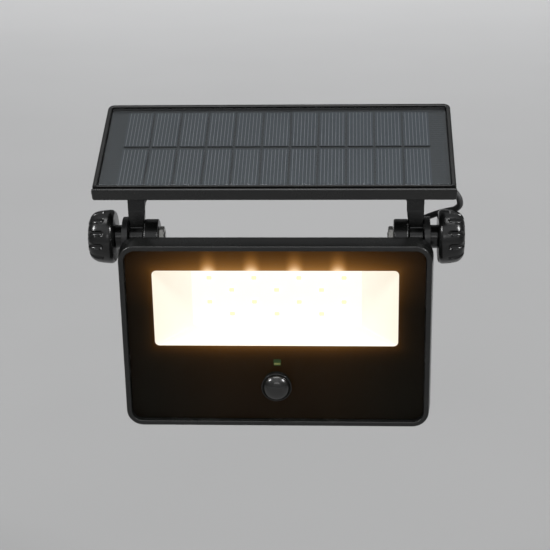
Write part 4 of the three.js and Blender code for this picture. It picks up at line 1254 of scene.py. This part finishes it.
def make_ears():
    """The two ears that hang the rear housing on the hinge line."""
    for side, sign in SIDES:
        solid = lofted([
            along_x([(y * size, z * size) for y, z in ear_outline()], x)
            for x, size in ear_stations()
        ])
        ear = on_side(carved(solid, rod(BORE_RADIUS, 60, 76)), sign)
        piece(f"{side}_ear", ear, "lamp_head", BLACK_PLASTIC, sharp=45)


def make_mode_button():
    """Rubber button with a flange inside the housing and a dished top."""
    flange_back = BOX_BACK - BOX_WALL - 0.4
    bm = turned(filleted([
        (0, 8.3), (5.6, 8.3), (5.6, flange_back), (4.5, flange_back), (4.5, BOX_BACK + 1.7, 0.9),
        (3.0, BOX_BACK + 1.75, 0.4), (2.6, BOX_BACK + 1.2, 0.4), (0, BOX_BACK + 1.2),
    ]), "y", (BUTTON_X, 0, BUTTON_Z), 48)
    piece("button", bm, "mode_key", RUBBER, replaced=["mode_button"], sharp=45)


make_bezel()
make_glass()
make_ink()
make_reflector()
make_led_board()
make_leds("led_bodies", LED_BODY, LED_SHELL)
make_leds("led_cups", LED_PHOSPHOR, LED_CUP)
make_collar()
make_dome()
make_indicator()
make_rear_shell()
make_ears()
make_mode_button()
make_screws(
    cross_screw(head_height=1.9, head_radius=2.8, shank_length=5.0),
    [(x, BEZEL_BACK + 0.3, z) for x, z in HOUSING_SCREWS],
    Matrix.Rotation(math.pi / 2, 4, "X"), "lamp_head", "housing_screw", HEAD_PLACE,
)
piece("lamp_gland", ribbed_gland("x", (0, LAMP_GLAND[1], LAMP_GLAND[2]), 64.0, plug=5.6),
      "lamp_head", RUBBER, replaced=["lamp_lead_gland"], sharp=40)

# ---------------------------------------------------------------- CAD pieces that keep their shape

KEPT = {
    "solar_backing_board": BLACK_BOARD,
    "glass_gasket": RUBBER,
    "motion_sensor": STEEL,
    "sensor_board": GREEN_BOARD,
    "daylight_sensor": WHITE_NYLON,
    "control_board": GREEN_BOARD,
    "charge_inductor": CHIP_BLACK,
    "controller_chip": CHIP_BLACK,
    "battery_connector": WHITE_NYLON,
    "panel_connector": WHITE_NYLON,
    "smoothing_capacitor": CHIP_BLACK,
    "mode_switch": CHIP_BLACK,
    "battery_cell": CELL_WRAP,
    "battery_holder": CHIP_BLACK,
}

for node, finish in KEPT.items():
    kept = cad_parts[node]
    for holder in kept.material_slots:
        holder.link = "OBJECT"
        holder.material = finish
    round_edges(kept, 0.2, 2)

# ---------------------------------------------------------------- floor and light

FLOOR_DROP = 0.22
FLOOR_FRONT, FLOOR_BACK = -2.0, 2.4        # metres in Y, where the floor's tone stops changing
# floor tones along Y: the dark middle band is painted shade
FLOOR_TONES_WITH_PAINTED_SHADE = ((0.08, 0.70), (0.27, 0.29), (0.39, 0.29), (0.54, 0.36), (1.0, 0.70))
WORLD_RAMPS = {                            # where each ramp starts and ends, and its strength at each
    "Y": (-0.95, -0.20, 1.6, 0.50),        # brighter in front of the light
    "Z": (0.40, 0.95, 0.22, 1.0),          # and much brighter overhead
}


def floor_with_painted_shade():
    """Pale floor, with painted shade under and just in front of the light, and a faint mottle."""
    n = Nodes("floor")
    away = n.spread(n.split()[1], 0.0, 1.0, FLOOR_FRONT, FLOOR_BACK)
    mottled = n.math("ADD", away, n.spread(n.noise(4, 2), -0.02, 0.02))
    return n.set(
        Base_Color=n.colours(mottled, *((place, (tone,) * 3) for place, tone in FLOOR_TONES_WITH_PAINTED_SHADE)),
        Roughness=0.9,
        Specular_IOR_Level=0.1,
    )


def make_floor():
    bm = bmesh.new()
    bmesh.ops.create_grid(bm, x_segments=2, y_segments=2, size=9)
    bmesh.ops.translate(bm, verts=bm.verts, vec=(0, 0, cad_low.z - FLOOR_DROP))
    floor = as_object("floor", bm)
    floor.data.materials.append(floor_with_painted_shade())


def softbox(name, place, target, width, height, power):
    """A rectangular lamp that faces a target."""
    data = bpy.data.lights.new(name, "AREA")
    data.shape = "RECTANGLE"
    data.size, data.size_y = width, height
    data.energy = power
    lamp = bpy.data.objects.new(name, data)
    lamp.location = place
    lamp.rotation_mode = "QUATERNION"
    lamp.rotation_quaternion = (Vector(place) - Vector(target)).to_track_quat("Z", "Y")
    bpy.context.collection.objects.link(lamp)
    return lamp


def place_lights():
    """Soft boxes over, beside and in front of the object, and one that brightens the floor far behind."""
    middle = (0, -0.06, 0.02)
    softbox("top_box", (0.0, 0.0, 1.5), middle, 1.2, 0.6, 11)
    softbox("left_box", (-1.25, -0.55, 1.10), middle, 0.30, 0.45, 15)
    softbox("right_box", (1.25, -0.55, 1.10), middle, 0.30, 0.45, 15)
    softbox("front_box", (0.05, -1.5, 0.60), middle, 0.9, 0.22, 1.5)
    far_floor = softbox("far_floor_box", (0.0, 2.8, 1.5), (0, 2.6, -0.3), 4.0, 1.4, 22)
    far_floor.visible_glossy = False


def make_world():
    """A pale studio round the scene, whose strength is the product of two ramps over its directions."""
    n = Nodes("studio", bpy.data.worlds)
    around = n.add("ShaderNodeTexCoord").outputs["Generated"]
    parts = n.add("ShaderNodeSeparateXYZ", {0: around}).outputs
    ramps = [
        n.spread(parts[axis], low, high, start, end)
        for axis, (start, end, low, high) in WORLD_RAMPS.items()
    ]
    background = n.tree.nodes["Background"]
    n.feed(background.inputs["Color"], (0.97, 0.98, 1.0))
    n.feed(background.inputs["Strength"], n.math("MULTIPLY", *ramps))
    bpy.context.scene.world = n.made


make_floor()
place_lights()
make_world()
bpy.context.scene.view_settings.view_transform = "Standard"
